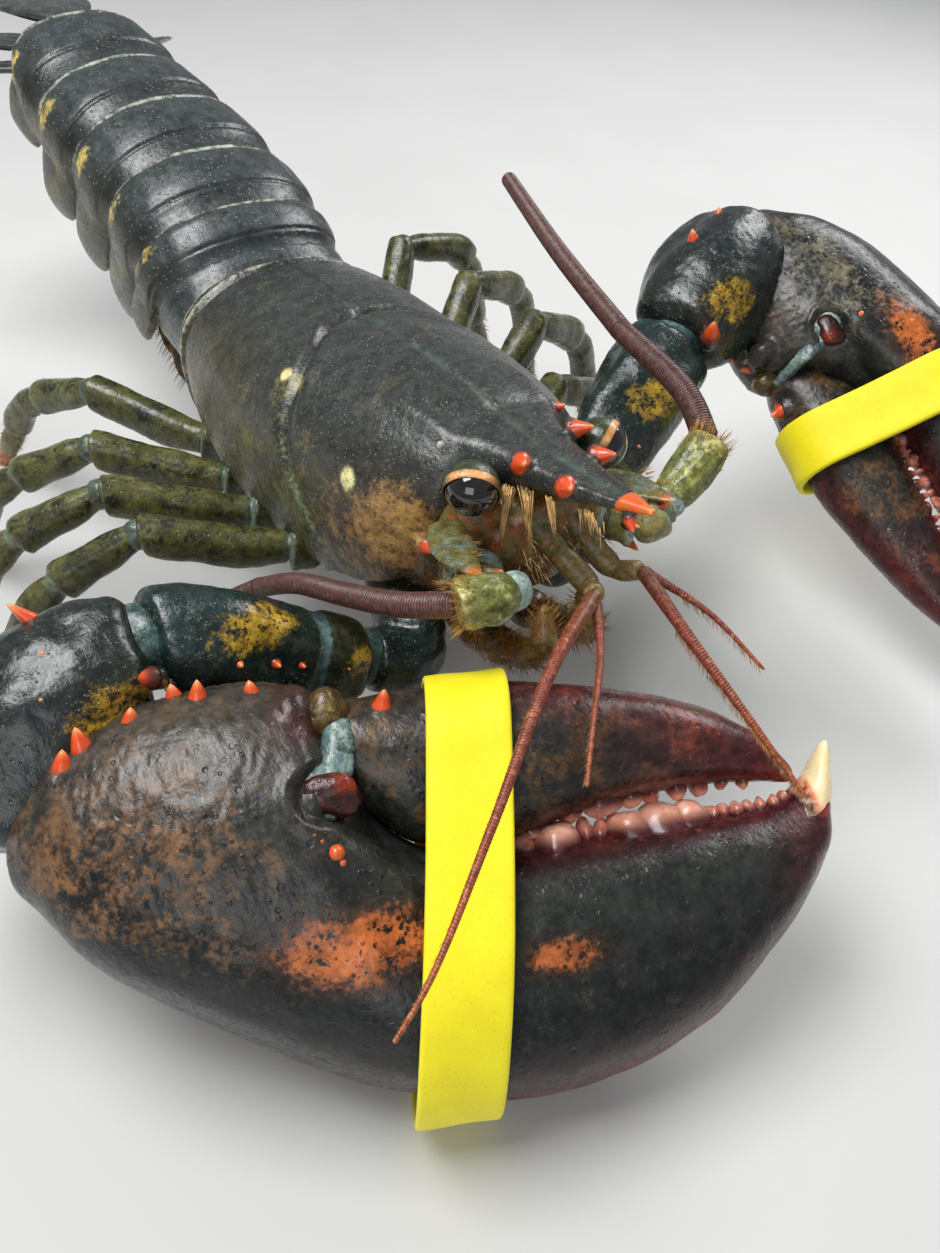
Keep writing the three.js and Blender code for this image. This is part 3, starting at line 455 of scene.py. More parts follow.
class Paint:
    """Colours of one skin: a base, the mark that breaks through it, and the mark's share"""

    def __init__(self, base, mark, share):
        self.base, self.mark, self.share = base, np.broadcast_to(mark, base.shape), share

    def wash(self, colour, where):
        self.base = mix(self.base, colour, where)

    def stain(self, colour, where, most):
        self.mark = mix(self.mark, colour, where)
        self.share = np.maximum(self.share, where * most)


class Setae:
    """Coat of stiff hairs under construction, each with its own patch of the map"""

    PATCH = 0.003
    STEPS = 3
    POINT_RADIUS = 0.012
    FLOOR_GAP = 0.03

    def __init__(self):
        self.points, self.quads, self.tris, self.uv, self.tint = [], [], [], [], []
        self.count = 0

    def add(self, roots, ways, lengths, radius, bend, spots, tint):
        roots, ways = np.atleast_2d(roots), each_unit(np.atleast_2d(ways))
        n = len(roots)
        bend = np.broadcast_to(np.asarray(bend, float), (n, 3))
        side = each_unit(np.cross(ways, (0.21, 0.33, 0.92)))
        rise = np.cross(side, ways)
        t = np.linspace(0, 1, self.STEPS + 1)
        turn = 2 * np.pi * np.arange(3) / 3
        centre = roots[:, None] + (lengths[:, None] * t)[..., None] * ways[:, None]
        centre = centre + (lengths[:, None] * t ** 2)[..., None] * bend[:, None]
        wide = radius * (1 - t) ** 0.7 + self.POINT_RADIUS
        ring = np.cos(turn)[None, :, None] * side[:, None] + np.sin(turn)[None, :, None] * rise[:, None]
        points = centre[:, :, None] + wide[None, :, None, None] * ring[:, None]
        each = (self.STEPS + 1) * 3
        start = self.count + np.arange(n)[:, None] * each
        self.points.append(points.reshape(-1, 3))
        self.quads.append((start[..., None] + sheet_quads(self.STEPS + 1, 3)).reshape(-1, 4))
        ends = np.array([[0, 2, 1], [each - 3, each - 2, each - 1]])
        self.tris.append((start[..., None] + ends).reshape(-1, 3))
        corner = np.stack(np.meshgrid(t, turn / (2 * np.pi), indexing="ij"), -1).reshape(-1, 2)
        self.uv.append((spots[:, None] + self.PATCH * (corner - 0.5)).reshape(-1, 2))
        self.tint.append(np.broadcast_to(np.asarray(tint, float), (n, 3)).repeat(each, axis=0))
        self.count += n * each

    def build(self, name, look, slot):
        points, quads, tris = (np.concatenate(v) for v in (self.points, self.quads, self.tris))
        points[:, 2] = np.maximum(points[:, 2], self.FLOOR_GAP)
        tint = np.concatenate(self.tint)
        mesh = add_piece(name, (points, quads, tris), look, (), {"tint": tint}, {})
        corners = np.zeros(len(mesh.loops), np.int32)
        mesh.loops.foreach_get("vertex_index", corners)
        uv = np.concatenate(self.uv)[corners].astype(np.float32).ravel()
        mesh.uv_layers.new(name="OFBake").data.foreach_set("uv", uv)


# Looks of shell, horn, eye, rubber, bristle and floor
class Look:
    """Node material under construction around one Principled shader"""

    def __init__(self, name):
        self.material = bpy.data.materials.new(name)
        self.material.use_nodes = True
        self.tree = self.material.node_tree
        self.shader = self.tree.nodes["Principled BSDF"]
        self.place = self.tree.nodes.new("ShaderNodeTexCoord").outputs["Object"]

    def node(self, kind, settings, inputs):
        made = self.tree.nodes.new(kind)
        for key, value in settings.items():
            setattr(made, key, value)
        for key, value in inputs.items():
            self.feed(made.inputs[key], value)
        return made

    def feed(self, socket, value):
        if isinstance(value, bpy.types.NodeSocket):
            self.tree.links.new(value, socket)
        else:
            socket.default_value = value

    def noise(self, size, detail=3, roughness=0.6, distortion=0.0, stretch=None):
        place = self.place
        if stretch is not None:
            place = self.node("ShaderNodeMapping", {}, {0: self.place, "Scale": stretch}).outputs[0]
        inputs = {"Vector": place, "Scale": 1000 / size, "Detail": detail, "Roughness": roughness,
                  "Distortion": distortion}
        return self.node("ShaderNodeTexNoise", {}, inputs).outputs["Fac"]

    def cells(self, size):
        inputs = {"Vector": self.place, "Scale": 1000 / size}
        return self.node("ShaderNodeTexVoronoi", {}, inputs).outputs["Distance"]

    def maths(self, operation, a, b=0.0, c=0.0):
        return self.node("ShaderNodeMath", {"operation": operation}, {0: a, 1: b, 2: c}).outputs[0]

    def ramp(self, value, low, high, start=0.0, end=1.0):
        inputs = {"Value": value, "From Min": low, "From Max": high, "To Min": start, "To Max": end}
        return self.node("ShaderNodeMapRange", {"interpolation_type": "SMOOTHSTEP"}, inputs).outputs[0]

    def mix(self, share, a, b, blend="MIX"):
        return self.node("ShaderNodeMix", {"data_type": "RGBA", "blend_type": blend},
                         {0: share, 6: a, 7: b}).outputs[2]

    def attribute(self, name, output):
        return self.node("ShaderNodeAttribute", {"attribute_name": name}, {}).outputs[output]

    def bump(self, height, strength, depth, under=None):
        inputs = {"Height": height, "Strength": strength, "Distance": depth / 1000}
        if under is not None:
            inputs["Normal"] = under
        return self.node("ShaderNodeBump", {}, inputs).outputs[0]

    def finish(self, colour, roughness, normal, **fixed):
        self.feed(self.shader.inputs["Base Color"], colour)
        self.feed(self.shader.inputs["Roughness"], roughness)
        if normal is not None:
            self.feed(self.shader.inputs["Normal"], normal)
        for key, value in fixed.items():
            self.shader.inputs[key.replace("_", " ")].default_value = value
        return self.material


# The first colour is a painted highlight, the glint of light on each granule; the second is the dark of
# spots and pits
GRAIN_GLINT = (0.5, 0.51, 0.44, 1)
DEEP_SPOT = (0.008, 0.008, 0.008, 1)


def shell_look(name, patch, speck, grain, glint_and_pit_show, rough, wet, wrinkle=0.0, bumps=1.0, dot=GRAIN_GLINT):
    """Wet shell: two painted colours broken up by noise, dark spots, small grains each painted with a dot
    (pale by default, a painted highlight for the glint on each granule), fine pits
    """
    look = Look(name)
    coarse = look.noise(patch, 5, 0.62, 0.5)
    fine = look.noise(speck, 4, 0.65)
    spread = look.maths("MULTIPLY_ADD", fine, 0.45, look.maths("MULTIPLY", coarse, 0.55))
    share = look.attribute("share", "Fac")
    level = look.maths("MULTIPLY_ADD", share, -0.44, 0.72)
    part = look.ramp(look.maths("SUBTRACT", spread, level), -0.075, 0.085)
    colour = look.mix(part, look.attribute("tint", "Color"), look.attribute("mark", "Color"))
    blots = look.ramp(look.noise(patch * 0.3, 4, 0.7, 0.4), 0.53, 0.62)
    freckles = look.ramp(look.cells(patch * 0.2), 0.24, 0.36, 1, 0)
    freckles = look.maths("MULTIPLY", freckles, look.ramp(look.noise(patch * 0.6, 3), 0.42, 0.56))
    blots = look.maths("MAXIMUM", blots, freckles)
    colour = look.mix(look.maths("MULTIPLY", blots, look.attribute("pock", "Fac")), colour, DEEP_SPOT)
    tone = look.ramp(look.noise(patch * 0.5, 5, 0.7), 0.3, 0.7, 0.5, 1.5)
    shade = look.node("ShaderNodeCombineColor", {}, {0: tone, 1: tone, 2: tone}).outputs[0]
    colour = look.mix(1.0, colour, shade, "MULTIPLY")
    # Dots on the grains: pale painted highlights for glints of light on the granules by default, dark pits
    # where a dark dot is given
    dots = look.ramp(look.cells(grain), 0.14, 0.24, 1, 0)
    where = look.ramp(look.noise(grain * 6, 3), 0.42, 0.6)
    dots = look.maths("MULTIPLY", dots, where)
    colour = look.mix(look.maths("MULTIPLY", dots, glint_and_pit_show), colour, dot)
    pits = look.ramp(look.cells(grain * 1.9), 0.1, 0.2, 0, 1)
    height = look.maths("MULTIPLY_ADD", fine, 0.5,
                        look.maths("MULTIPLY_ADD", dots, 0.6, look.maths("MULTIPLY", pits, 0.4)))
    normal = look.bump(height, 0.7, 0.2 * bumps)
    if wrinkle:
        folds = look.noise(1.3, 3, 0.6, 0.3, (1, 0.35, 0.35))
        normal = look.bump(folds, wrinkle, 0.4, normal)
    roughness = look.ramp(fine, 0.3, 0.7, rough - 0.09, rough + 0.12)
    return look.finish(colour, roughness, normal, Specular_IOR_Level=wet)


def horn_look():
    """Teeth and spines: smooth, waxy, slightly clear"""
    look = Look("horn")
    fine = look.noise(1.4, 4, 0.6)
    part = look.ramp(fine, 0.35, 0.65)
    colour = look.mix(part, look.attribute("tint", "Color"), look.attribute("mark", "Color"))
    normal = look.bump(look.noise(0.8, 3), 0.25, 0.12)
    return look.finish(colour, look.ramp(fine, 0.3, 0.7, 0.25, 0.42), normal, Coat_Weight=0.5,
                       Coat_Roughness=0.12, Subsurface_Weight=0.15, Subsurface_Scale=0.002)


def eye_look():
    """Dark cornea with fine facets"""
    look = Look("eye")
    facets = look.cells(0.16)
    part = look.ramp(look.noise(2.5, 3), 0.35, 0.65)
    colour = look.mix(part, (0.002, 0.002, 0.003, 1), (0.009, 0.007, 0.006, 1))
    normal = look.bump(facets, 0.05, 0.02)
    return look.finish(colour, look.ramp(facets, 0.2, 0.8, 0.05, 0.09), normal, Coat_Weight=1.0,
                       Coat_Roughness=0.02)


def rubber_look():
    """Flat rubber band with tiny specks and a dull skin"""
    look = Look("rubber")
    cloud = look.noise(7, 4, 0.6)
    colour = look.mix(look.ramp(cloud, 0.3, 0.7), (0.9, 0.76, 0.0, 1), (0.95, 0.84, 0.003, 1))
    specks = look.ramp(look.cells(0.9), 0.1, 0.2, 0.5, 0)
    colour = look.mix(specks, colour, (0.6, 0.46, 0.0, 1))
    fine = look.noise(0.5, 4, 0.7)
    stretch = look.noise(1.6, 3, 0.6, 0.0, (1, 0.2, 0.2))
    normal = look.bump(look.maths("ADD", fine, stretch), 0.22, 0.12)
    return look.finish(colour, look.ramp(fine, 0.3, 0.7, 0.5, 0.68), normal, Sheen_Weight=0.1)


def seta_look():
    """Stiff amber hair"""
    look = Look("setae")
    part = look.ramp(look.noise(1.5, 3), 0.3, 0.7, 0.55, 1.3)
    shade = look.node("ShaderNodeCombineColor", {}, {0: part, 1: part, 2: part}).outputs[0]
    colour = look.mix(1.0, look.attribute("tint", "Color"), shade, "MULTIPLY")
    return look.finish(colour, look.ramp(look.noise(0.7), 0.3, 0.7, 0.3, 0.45), None,
                       Specular_IOR_Level=0.4)


def floor_look():
    """Plain pale floor with a faint grain"""
    look = Look("floor")
    cloud = look.noise(60, 4)
    colour = look.mix(look.ramp(cloud, 0.35, 0.65), (0.615, 0.615, 0.6, 1), (0.625, 0.625, 0.61, 1))
    normal = look.bump(look.noise(1.5, 4), 0.08, 0.1)
    return look.finish(colour, look.ramp(cloud, 0.3, 0.7, 0.55, 0.62), normal)


BACK = shell_look("back", patch=7, speck=1.2, grain=0.85, glint_and_pit_show=0.5, rough=0.26, wet=0.66, bumps=2.6)
TAIL = shell_look("tail", patch=8, speck=1.6, grain=1.3, glint_and_pit_show=0.34, rough=0.3, wet=0.62, bumps=1.9)
CLAW = shell_look("claw", patch=8, speck=1.3, grain=2.2, glint_and_pit_show=0.8, rough=0.27, wet=0.42,
                  wrinkle=0.3, bumps=1.7,
                  dot=DEEP_SPOT)
ARM = shell_look("arm", patch=5, speck=1.2, grain=1.2, glint_and_pit_show=0.12, rough=0.2, wet=0.6, wrinkle=0.2,
                 bumps=2.2)
LEG = shell_look("leg", patch=4, speck=1.0, grain=1.1, glint_and_pit_show=0.2, rough=0.24, wet=0.55, bumps=1.6)
FEELER = shell_look("feeler", patch=2.4, speck=0.8, grain=1.0, glint_and_pit_show=0.2, rough=0.34, wet=0.5)
HORN = horn_look()
EYE = eye_look()
RUBBER = rubber_look()
SETA = seta_look()
FLOOR = floor_look()

# Colours seen on the animal
SLATE = rgb("#363935")
SLATE_BLUE = rgb("#384040")
BLACK_SHELL = rgb("#202322")
OLIVE = rgb("#4a4527")
OLIVE_PALE = rgb("#77713a")
RUST = rgb("#8d5522")
ORANGE = rgb("#c8651c")
RED_TIP = rgb("#e4501a")
PALE_TIP = rgb("#ffa65a")
TEAL = rgb("#1e3a37")
MEMBRANE = rgb("#8fb4b8")
MAROON = rgb("#4d1c1c")
RED_BROWN = rgb("#6a2f22")
FLESH = rgb("#e39a80")
LASH = rgb("#5c3a34")
AMBER = rgb("#b98a4a")


# Section of the trunk: a rounded arch over sides that tuck in to a flat underside
def arch(half, top, bottom, arc, under=5):
    half, top, bottom = (np.reshape(v, (-1, 1)) for v in (half, top, bottom))
    hip = bottom + HIP * (top - bottom)
    angle = np.pi * np.arange(2 * arc + 1) / (2 * arc)
    cos, sin = np.cos(angle), np.abs(np.sin(angle))
    x = half * np.sign(cos) * np.abs(cos) ** (2 / 2.25)
    z = hip + (top - hip) * sin ** (2 / 2.25)
    turn = np.pi / 2 * np.arange(1, under + 1) / under
    low_x = half * (TUCK + (1 - TUCK) * np.cos(turn))
    low_z = hip - (hip - bottom) * np.sin(turn)
    return np.hstack([x, -low_x, low_x[:, ::-1]]), np.hstack([z, low_z, low_z[:, ::-1]])


CARAPACE_FRONT = -106
SOCKET_REACH = 7.0
CARAPACE_ROWS = [
    [-106, 19.5, 49.5, 24], [-100, 23.5, 51.3, 17], [-90, 27.8, 52.4, 10.5], [-76, 31, 53, 7],
    [-60, 32.6, 53.2, 6], [-48, 33, 52.7, 6], [-30, 32.6, 53.6, 7.5], [-14, 31, 53, 11],
    [-4, 29.2, 51.8, 16], [0, 28.4, 51.2, 20],
]
ROSTRUM_ROWS = [
    [-ROSTRUM_TIP, 0.4, 50.1, 49.2], [-140, 3.2, 50, 46.2], [-128, 5.8, 49.8, 43.2],
    [-116, 8.6, 50.2, 40.5], [-106, 12.4, 50.9, 38], [-88, 17, 50.6, 36],
]
# Spines of the head: [side, distance, height, length, radius, way out]
HEAD_SPINES = [
    [-7.6, -121.0, 48.9, 3.4, 1.6, (-0.45, -1, 0.5)],
    [-5.2, -131.6, 48.1, 3.4, 1.6, (-0.4, -1, 0.45)],
    [8.8, -116.0, 49.0, 4.6, 1.6, (0.5, -1, 0.45)],
    [6.6, -126.0, 48.2, 4.2, 1.6, (0.45, -1, 0.45)],
    [-1.6, -145.2, 46.6, 2.4, 0.9, (-0.4, -1, -0.5)],
    [14.4, -103.0, 46.8, 2.6, 1.1, (0.4, -1, 0.6)],
    [-19.6, -106, 27, 4.2, 1.4, (-0.25, -1, 0.2)],
    [19.6, -106, 27, 4.2, 1.4, (0.25, -1, 0.2)],
]
PALE_KNOB = (-14.0, -103.4, 46.9)
LIP = [[0, 0], [0.9, 0.35], [1.6, 1.0], [2.1, 2.0], [2.3, 3.4]]
GROOVE = [[0, -47], [9, -48.4], [16, -53.9], [28, -60], [42, -64], [52, -69.5], [60, -76], [76, -88]]
CREAM_SPOTS = [((-27, -87.8, 36.3), 2.0), ((27, -85, 35), 1.7), ((-23.6, -55, 46.1), 1.5),
               ((24.5, -57, 45.5), 1.2)]


def box_rings(rows, y, sides, square, grow=0.0):
    wide, top, bottom = at(rows, y)
    a, b, _ = oval(sides, square)
    wide = np.maximum(wide + grow, 0.2)[:, None]
    half = np.maximum((top - bottom) / 2 + grow, 0.2)[:, None]
    return body(wide * a, np.reshape(y, (-1, 1)), ((top + bottom) / 2)[:, None] + half * b)


def head_spine(x, y, z, length, radius, way):
    turned = unit(*(body(*way) - body(0, 0, 0)))
    return thorn(body(x, y, z), turned, length, radius)


def carapace_body():
    """Trunk and rostrum in one skin, with a root for each spine"""
    y = np.linspace(CARAPACE_FRONT, 0, 90)
    front = [[CARAPACE_FRONT - reach, inset] for reach, inset in LIP[:0:-1]]
    inset = np.array([row[1] for row in front] + [0] * len(y))
    y_all = np.array([row[0] for row in front] + list(y))
    half, top, bottom = at(CARAPACE_ROWS, y_all)
    x, z = arch(half - inset, top - inset, bottom + inset, 30)
    nose = box_rings(ROSTRUM_ROWS, np.linspace(-ROSTRUM_TIP, -86, 60), 30, 2.4)
    parts = [loft(body(x, y_all[:, None], z)), loft(nose)]
    for x, y, z, length, radius, way in HEAD_SPINES:
        parts.append(head_spine(x, y, z, length * 0.6, radius * 1.15, way)[0])
    return relax(union(parts, FINE_VOXEL), 6)


def carapace_relief(points, around, seam):
    """Grooves, ridges and low swells over the smooth skin"""
    x, y, z = to_body(points)
    above = soft(30, 44, z)
    deep = 1.25 * soft(60, 38, around) + 0.35 + 0.7 * soft(18, 8, around)
    cut = -deep * bell(y - seam, 1.7 + around * 0.015)
    cut += 0.45 * bell(y - seam + 3.6, 2.6) * soft(45, 20, around)
    cut -= 0.4 * bell(x, 0.7) * soft(-4, -20, y) * soft(-132, -120, y) * above
    cut -= 0.9 * bell(y + 5.6, 0.8) + 0.3 * bell(y + 1.7, 0.5)
    cut += 0.5 * bell(y + 3.6, 1.2)
    nose_half = at(ROSTRUM_ROWS, y)[0]
    on_nose = soft(-96, -108, y) * soft(45, 47, z)
    inner = 1 - soft(0.35, 0.95, np.abs(x) / np.maximum(nose_half, 1))
    cut -= 0.9 * on_nose * inner * soft(-147, -138, y)
    ridge = np.abs(x) - (11.5 + (y + 106) * 0.16)
    cut += 0.7 * bell(ridge, 2.0) * soft(-80, -92, y) * soft(-112, -104, y) * above
    swell = layers(points, 16, 3, 2) - 0.5
    return cut + (0.8 * swell * soft(-100, -85, y) + 0.07 * (layers(points, 1.6, 5, 2) - 0.5) * 2)


def carapace_paint(points, around, seam):
    """Slate back, olive flanks, tan patch under each eye, cream spots, painted shade in the neck groove,
    and a flecked rim
    """
    x, y, z = to_body(points)
    level = np.stack([x, y, z], 1)
    mirrored = np.stack([np.abs(x), y, z], 1)
    above = soft(30, 44, z)
    flank = soft(30, 58, around)
    paint = Paint(mix(SLATE * 0.8, OLIVE * 0.5, flank * 0.85), OLIVE_PALE * 0.55, 0.18 + 0.3 * flank)
    paint.wash(BLACK_SHELL, 0.55 * soft(-30, -8, y) * (1 - flank) + 0.3 * bell(x, 3) * above)
    paint.wash(OLIVE * 0.7, soft(-60, -30, y) * soft(14, 40, around) * 0.6)
    under_eye = blob(mirrored, (24, -97, 26), (12, 17, 13), 0.75)
    core = blob(mirrored, (24.5, -100, 29), (8, 9, 9), 0.8)
    paint.mark = mix(paint.mark, rgb("#9a6c3a"), under_eye)
    paint.share = np.maximum(paint.share, under_eye * 0.56 + core * 0.4)
    paint.mark = mix(paint.mark, rgb("#b08a52"), core)
    paint.wash(rgb("#4a3418"), under_eye * 0.5)
    paint.wash(rgb("#46564c"), 0.55 * bell(x, 1.1) * above * soft(-30, -50, y))
    paint.wash(BLACK_SHELL * 0.7, soft(24, 12, z) * 0.7)
    streak = bell(y - seam - 1.5, 2.0) * soft(30, 40, around) * soft(72, 60, around)
    paint.stain(rgb("#6a7a52"), streak, 0.5)
    paint.stain(rgb("#6f6a3a"), blob(mirrored, (24.5, -57, 43), (4, 5, 7), 0.5), 0.6)
    for centre, radius in CREAM_SPOTS:
        spot = blob(level, centre, (radius, radius, radius * 1.3), 0.25)
        paint.wash(rgb("#e6dc98"), spot)
        paint.share = paint.share * (1 - spot)
    # Painted shade: the neck groove is darkened in colour where shade falls in it
    crease = bell(y - seam, 1.3) * soft(40, 26, around)
    paint.wash(BLACK_SHELL * 0.6, crease * 0.7)
    paint.stain(rgb("#a6a694"), np.maximum(bell(y + 3.6, 1.3), bell(y + 0.6, 0.7)), 0.58)
    return paint, 0.8 * under_eye * (1 - 0.55 * core) + 0.1


def carapace():
    skin = carapace_body()
    x, _, z = to_body(skin[0])
    around = np.abs(x) + np.maximum(0, 50 - z)
    seam = at(GROOVE, around)[0]
    paint, pock = carapace_paint(skin[0], around, seam)
    skin = push(skin, carapace_relief(skin[0], around, seam))
    made = Skin().add((socket(skin[0]), skin[1], skin[2]), paint.base, paint.mark, paint.share, pock)
    made.build("carapace_shell", BACK, "back_shell", "carapace")
    tips = Skin()
    for spine in HEAD_SPINES:
        red_spine(tips, head_spine(*spine), -0.1)
    knob = lump(body(*PALE_KNOB), np.eye(3), (1.0, 1.0, 1.0), 16)
    tips.add(knob, rgb("#8f8f8a"), rgb("#b8b8b0"))
    rows, sides = 16, 18
    nose_tip = box_rings(ROSTRUM_ROWS, np.linspace(-ROSTRUM_TIP - 0.2, -142.2, rows), sides, 2.0, 0.18)
    along = np.linspace(0, 1, rows * sides + 2)
    tips.add(loft(nose_tip), mix(PALE_TIP, RED_TIP, soft(0, 0.5, along)), ORANGE)
    tips.build("carapace_spines", HORN, "back_shell")


def socket(points):
    """Hollow round each eye, with the shell pushed clear of the ball and its stalk"""
    out = points.copy()
    for _, side in SIDES:
        centre = body(EYE_CENTRE[0] * side, EYE_CENTRE[1], EYE_CENTRE[2])
        away = out - centre
        far = np.linalg.norm(away, axis=1)
        near = far < SOCKET_REACH
        out[near] = centre + away[near] / far[near, None] * SOCKET_REACH
    return out


def red_spine(skin, made, start=0.2, pale=0.75):
    """Spine painted from shell at its root to orange red and a paler point"""
    shape, t = made
    colour = mix(rgb("#4a2620"), RED_TIP, soft(start, start + 0.35, t))
    colour = mix(colour, PALE_TIP, soft(pale, 1.05, t))
    skin.add(shape, colour, colour * 0.8)


FACE_ROWS = [[-121, 8, 38, 22], [-116, 14, 40, 15], [-108, 19, 42, 10], [-96, 22, 43, 6]]
FACE_LOBES = [((9, -117, 31), (5, 4.5, 5)), ((4.5, -119.5, 26), (3.6, 3, 4)), ((13, -114, 20), (5.5, 5, 6))]
BELLY_STEP = 17
THORAX_ROWS = [
    [-102, 10, 20, 6], [-84, 19, 20, 1], [-60, 22, 20, 0], [-30, 23, 20, 0], [-8, 21, 22, 4],
    [-1, 19, 24, 12],
]


def head_and_belly():
    axes = np.eye(3)
    lobes = [loft(box_rings(FACE_ROWS, np.linspace(-121, -96, 30), 48, 2.6))]
    for side in (-1, 1):
        for (x, y, z), radii in FACE_LOBES:
            lobes.append(lump(body(x * side, y, z), axes, radii))
    skin = relax(union(lobes, VOXEL), 5)
    skin = push(skin, 0.9 * (layers(skin[0], 5, 9) - 0.5))
    height = to_body(skin[0])[2]
    base = mix(OLIVE * 0.75, OLIVE_PALE * 1.1, soft(22, 34, height) * 0.8)
    share = 0.35 + 0.3 * noise(skin[0], 6, 4)
    made = Skin().add(skin, base, RUST * 0.7, share, 0.3)
    made.build("face_shell", LEG, "head_shell", "head_front")
    ridges = [loft(box_rings(THORAX_ROWS, np.linspace(-102, -1, 60), 40, 3))]
    for k in range(5):
        for side in (-1, 1):
            ridges.append(lump(body(9 * side, -84 + k * BELLY_STEP, 1.5), axes, (8, 5.5, 2.2)))
    skin = relax(union(ridges, COARSE_VOXEL), 4)
    level = to_body(skin[0])[1]
    skin = push(skin, -0.5 * bell((level + 75.5) % BELLY_STEP - BELLY_STEP / 2, 1.0))
    made = Skin().add(skin, rgb("#8a6a4a") * 0.6, RUST * 0.6, 0.4, 0.2)
    made.build("belly_shell", LEG, "head_shell", "thorax_underside")


# Middle line of the back of the abdomen, rising from the carapace to the last ring
BACK_LINE = Route([body(*p) for p in (
    (0, 0, 51), (0, 17, 63), (0, 38, 73), (-2, 61, 82), (-5, 84, 89.5), (-7, 106, 98), (-9, 126, 103))])
RING_EDGES = [0.4, 5.5, 21, 44, 68.6, 92.7, 117]
ABDOMEN_ROWS = [
    [0, 26.5, 29], [5, 28, 31], [21, 29, 33], [44, 28.6, 33], [68.6, 27.6, 31], [92.7, 26, 28],
    [117, 21.5, 22],
]
FIRST_RING_FRONT = (26.4, 50, 23)
RING_LAP = 1.2
PLATE_DROP = [0, 12, 15, 14, 13, 9]


def back_frame(s):
    t = np.minimum(1, np.atleast_1d(s) / BACK_LINE.length)
    forward = BACK_LINE.way(t)
    side = each_unit(np.cross(forward, UP))
    return BACK_LINE.point(t), side, np.cross(side, forward), forward


class Ring:
    """Middle of one ring of the abdomen, with its sizes and the frame there"""

    def __init__(self, index):
        start, end = RING_EDGES[index], RING_EDGES[index + 1]
        self.middle, self.span, self.drop = (start + end) / 2, end - start, PLATE_DROP[index]
        self.half, self.depth = (v[0] for v in at(ABDOMEN_ROWS, self.middle))
        self.centre, self.across, self.up, self.forward = (v[0] for v in back_frame(self.middle))

    def local(self, points):
        away = points - self.centre
        return away @ self.across, away @ self.up, away @ self.forward


def on_back(s, x, z):
    """Points across the abdomen at distances along its back"""
    centre, side, up, _ = back_frame(s)
    x, z = (np.asarray(v, float)[..., None] for v in np.broadcast_arrays(x, z))
    centre, side, up = (v.reshape(v.shape[:1] + (1,) * (x.ndim - 2) + (3,)) for v in (centre, side, up))
    return centre + side * x + up * z


RING_INSET = [[0, 2.2], [0.1, 1.9], [0.22, 1.3], [0.3, 0.5], [0.5, 0.0], [0.78, 0.1], [0.92, 0.7], [1, 1.0]]


def ring_skin(index):
    start, end = RING_EDGES[index] - RING_LAP, RING_EDGES[index + 1] - GAP / 2
    if index == 0:
        half, top, bottom = FIRST_RING_FRONT
        width, depth = (v[0] for v in at(ABDOMEN_ROWS, RING_EDGES[1]))
        x, z = arch(half, top, bottom, 24)
        front = body(x, GAP, z)[0]
        x, z = arch(width - 0.9, -0.9, -depth, 24)
        rear = on_back(end, x, z)[0]
        share = np.linspace(0, 1, 9)[:, None, None]
        return loft(front * (1 - share) + rear * share)
    s = np.linspace(start, end, 34)
    inset = at(RING_INSET, (s - start) / (end - start))[0]
    if index == 5:
        inset = inset * 0.7
    half, depth = at(ABDOMEN_ROWS, s)
    x, z = arch(half - inset, -inset, -depth, 24)
    return loft(on_back(s, x, z))


def hanging(ring, x, z, forward):
    """Lofted flap that hangs from a ring: its points given across, up and forward"""
    points = ring.centre + x[..., None] * ring.across + z[:, None, None] * ring.up
    return loft(points + forward[..., None] * ring.forward)


def plate_skin(ring, side):
    """Side plate of a ring, which narrows to a blunt point behind its middle"""
    half, depth, span, drop = ring.half, ring.depth, ring.span, ring.drop
    rows = [
        [0, half - 3.4, -depth * 0.55, span * 0.36, 0, 1.9],
        [0.35, half - 1.9, -depth * 0.88, span * 0.43, 0.2, 1.8],
        [0.6, half - 1.6, -depth - drop * 0.3, span * 0.41, 1.2, 1.5],
        [0.82, half - 2.6, -depth - drop * 0.72, span * 0.28, 3.4, 1.15],
        [1, half - 4.2, -depth - drop, 0.8, 6.6, 0.5],
    ]
    x, z, wide, back, thick = at(rows, np.concatenate([np.linspace(0, 0.82, 14), np.linspace(0.86, 1, 8)]))
    a, b, _ = oval(22, 2.3)
    return hanging(ring, side * (x[:, None] + b * thick[:, None]), z, back[:, None] + a * wide[:, None])


def swimmeret(ring, side):
    depth = ring.depth
    rows = [
        [0, 13, -depth + 3, 3, 2, 0], [0.25, 13.5, -depth - 5, 3, 1.5, -1],
        [0.6, 15, -depth - 13, 4.8, 0.9, -5],
        [0.85, 15.6, -depth - 19, 3.4, 0.7, -8], [1, 16, -depth - 22, 0.8, 0.4, -10],
    ]
    x, z, wide, thick, back = at(rows, np.linspace(0, 1, 18))
    a, b, _ = oval(14)
    return hanging(ring, side * x[:, None] + a * wide[:, None], z, back[:, None] + b * thick[:, None])


def ring_relief(points, index, ring, x, z, q, over):
    """Swells, and behind the first ring two cross grooves and a hollow along each side"""
    cut = 0.5 * (layers(points, 9, 20 + index, 2) - 0.5) * over + 0.06 * (noise(points, 1.3, 2) - 0.5)
    if index:
        cut -= 0.55 * bell(q - 0.27, 0.022) * over
        cut -= 0.3 * bell(q - 0.9, 0.016) * over
        hollow = bell(np.abs(np.abs(x) - ring.half * 0.8), 2.2) * bell(q - 0.6, 0.3)
        cut -= 0.5 * hollow * soft(-ring.depth * 0.75, -ring.depth * 0.55, z)
    return cut


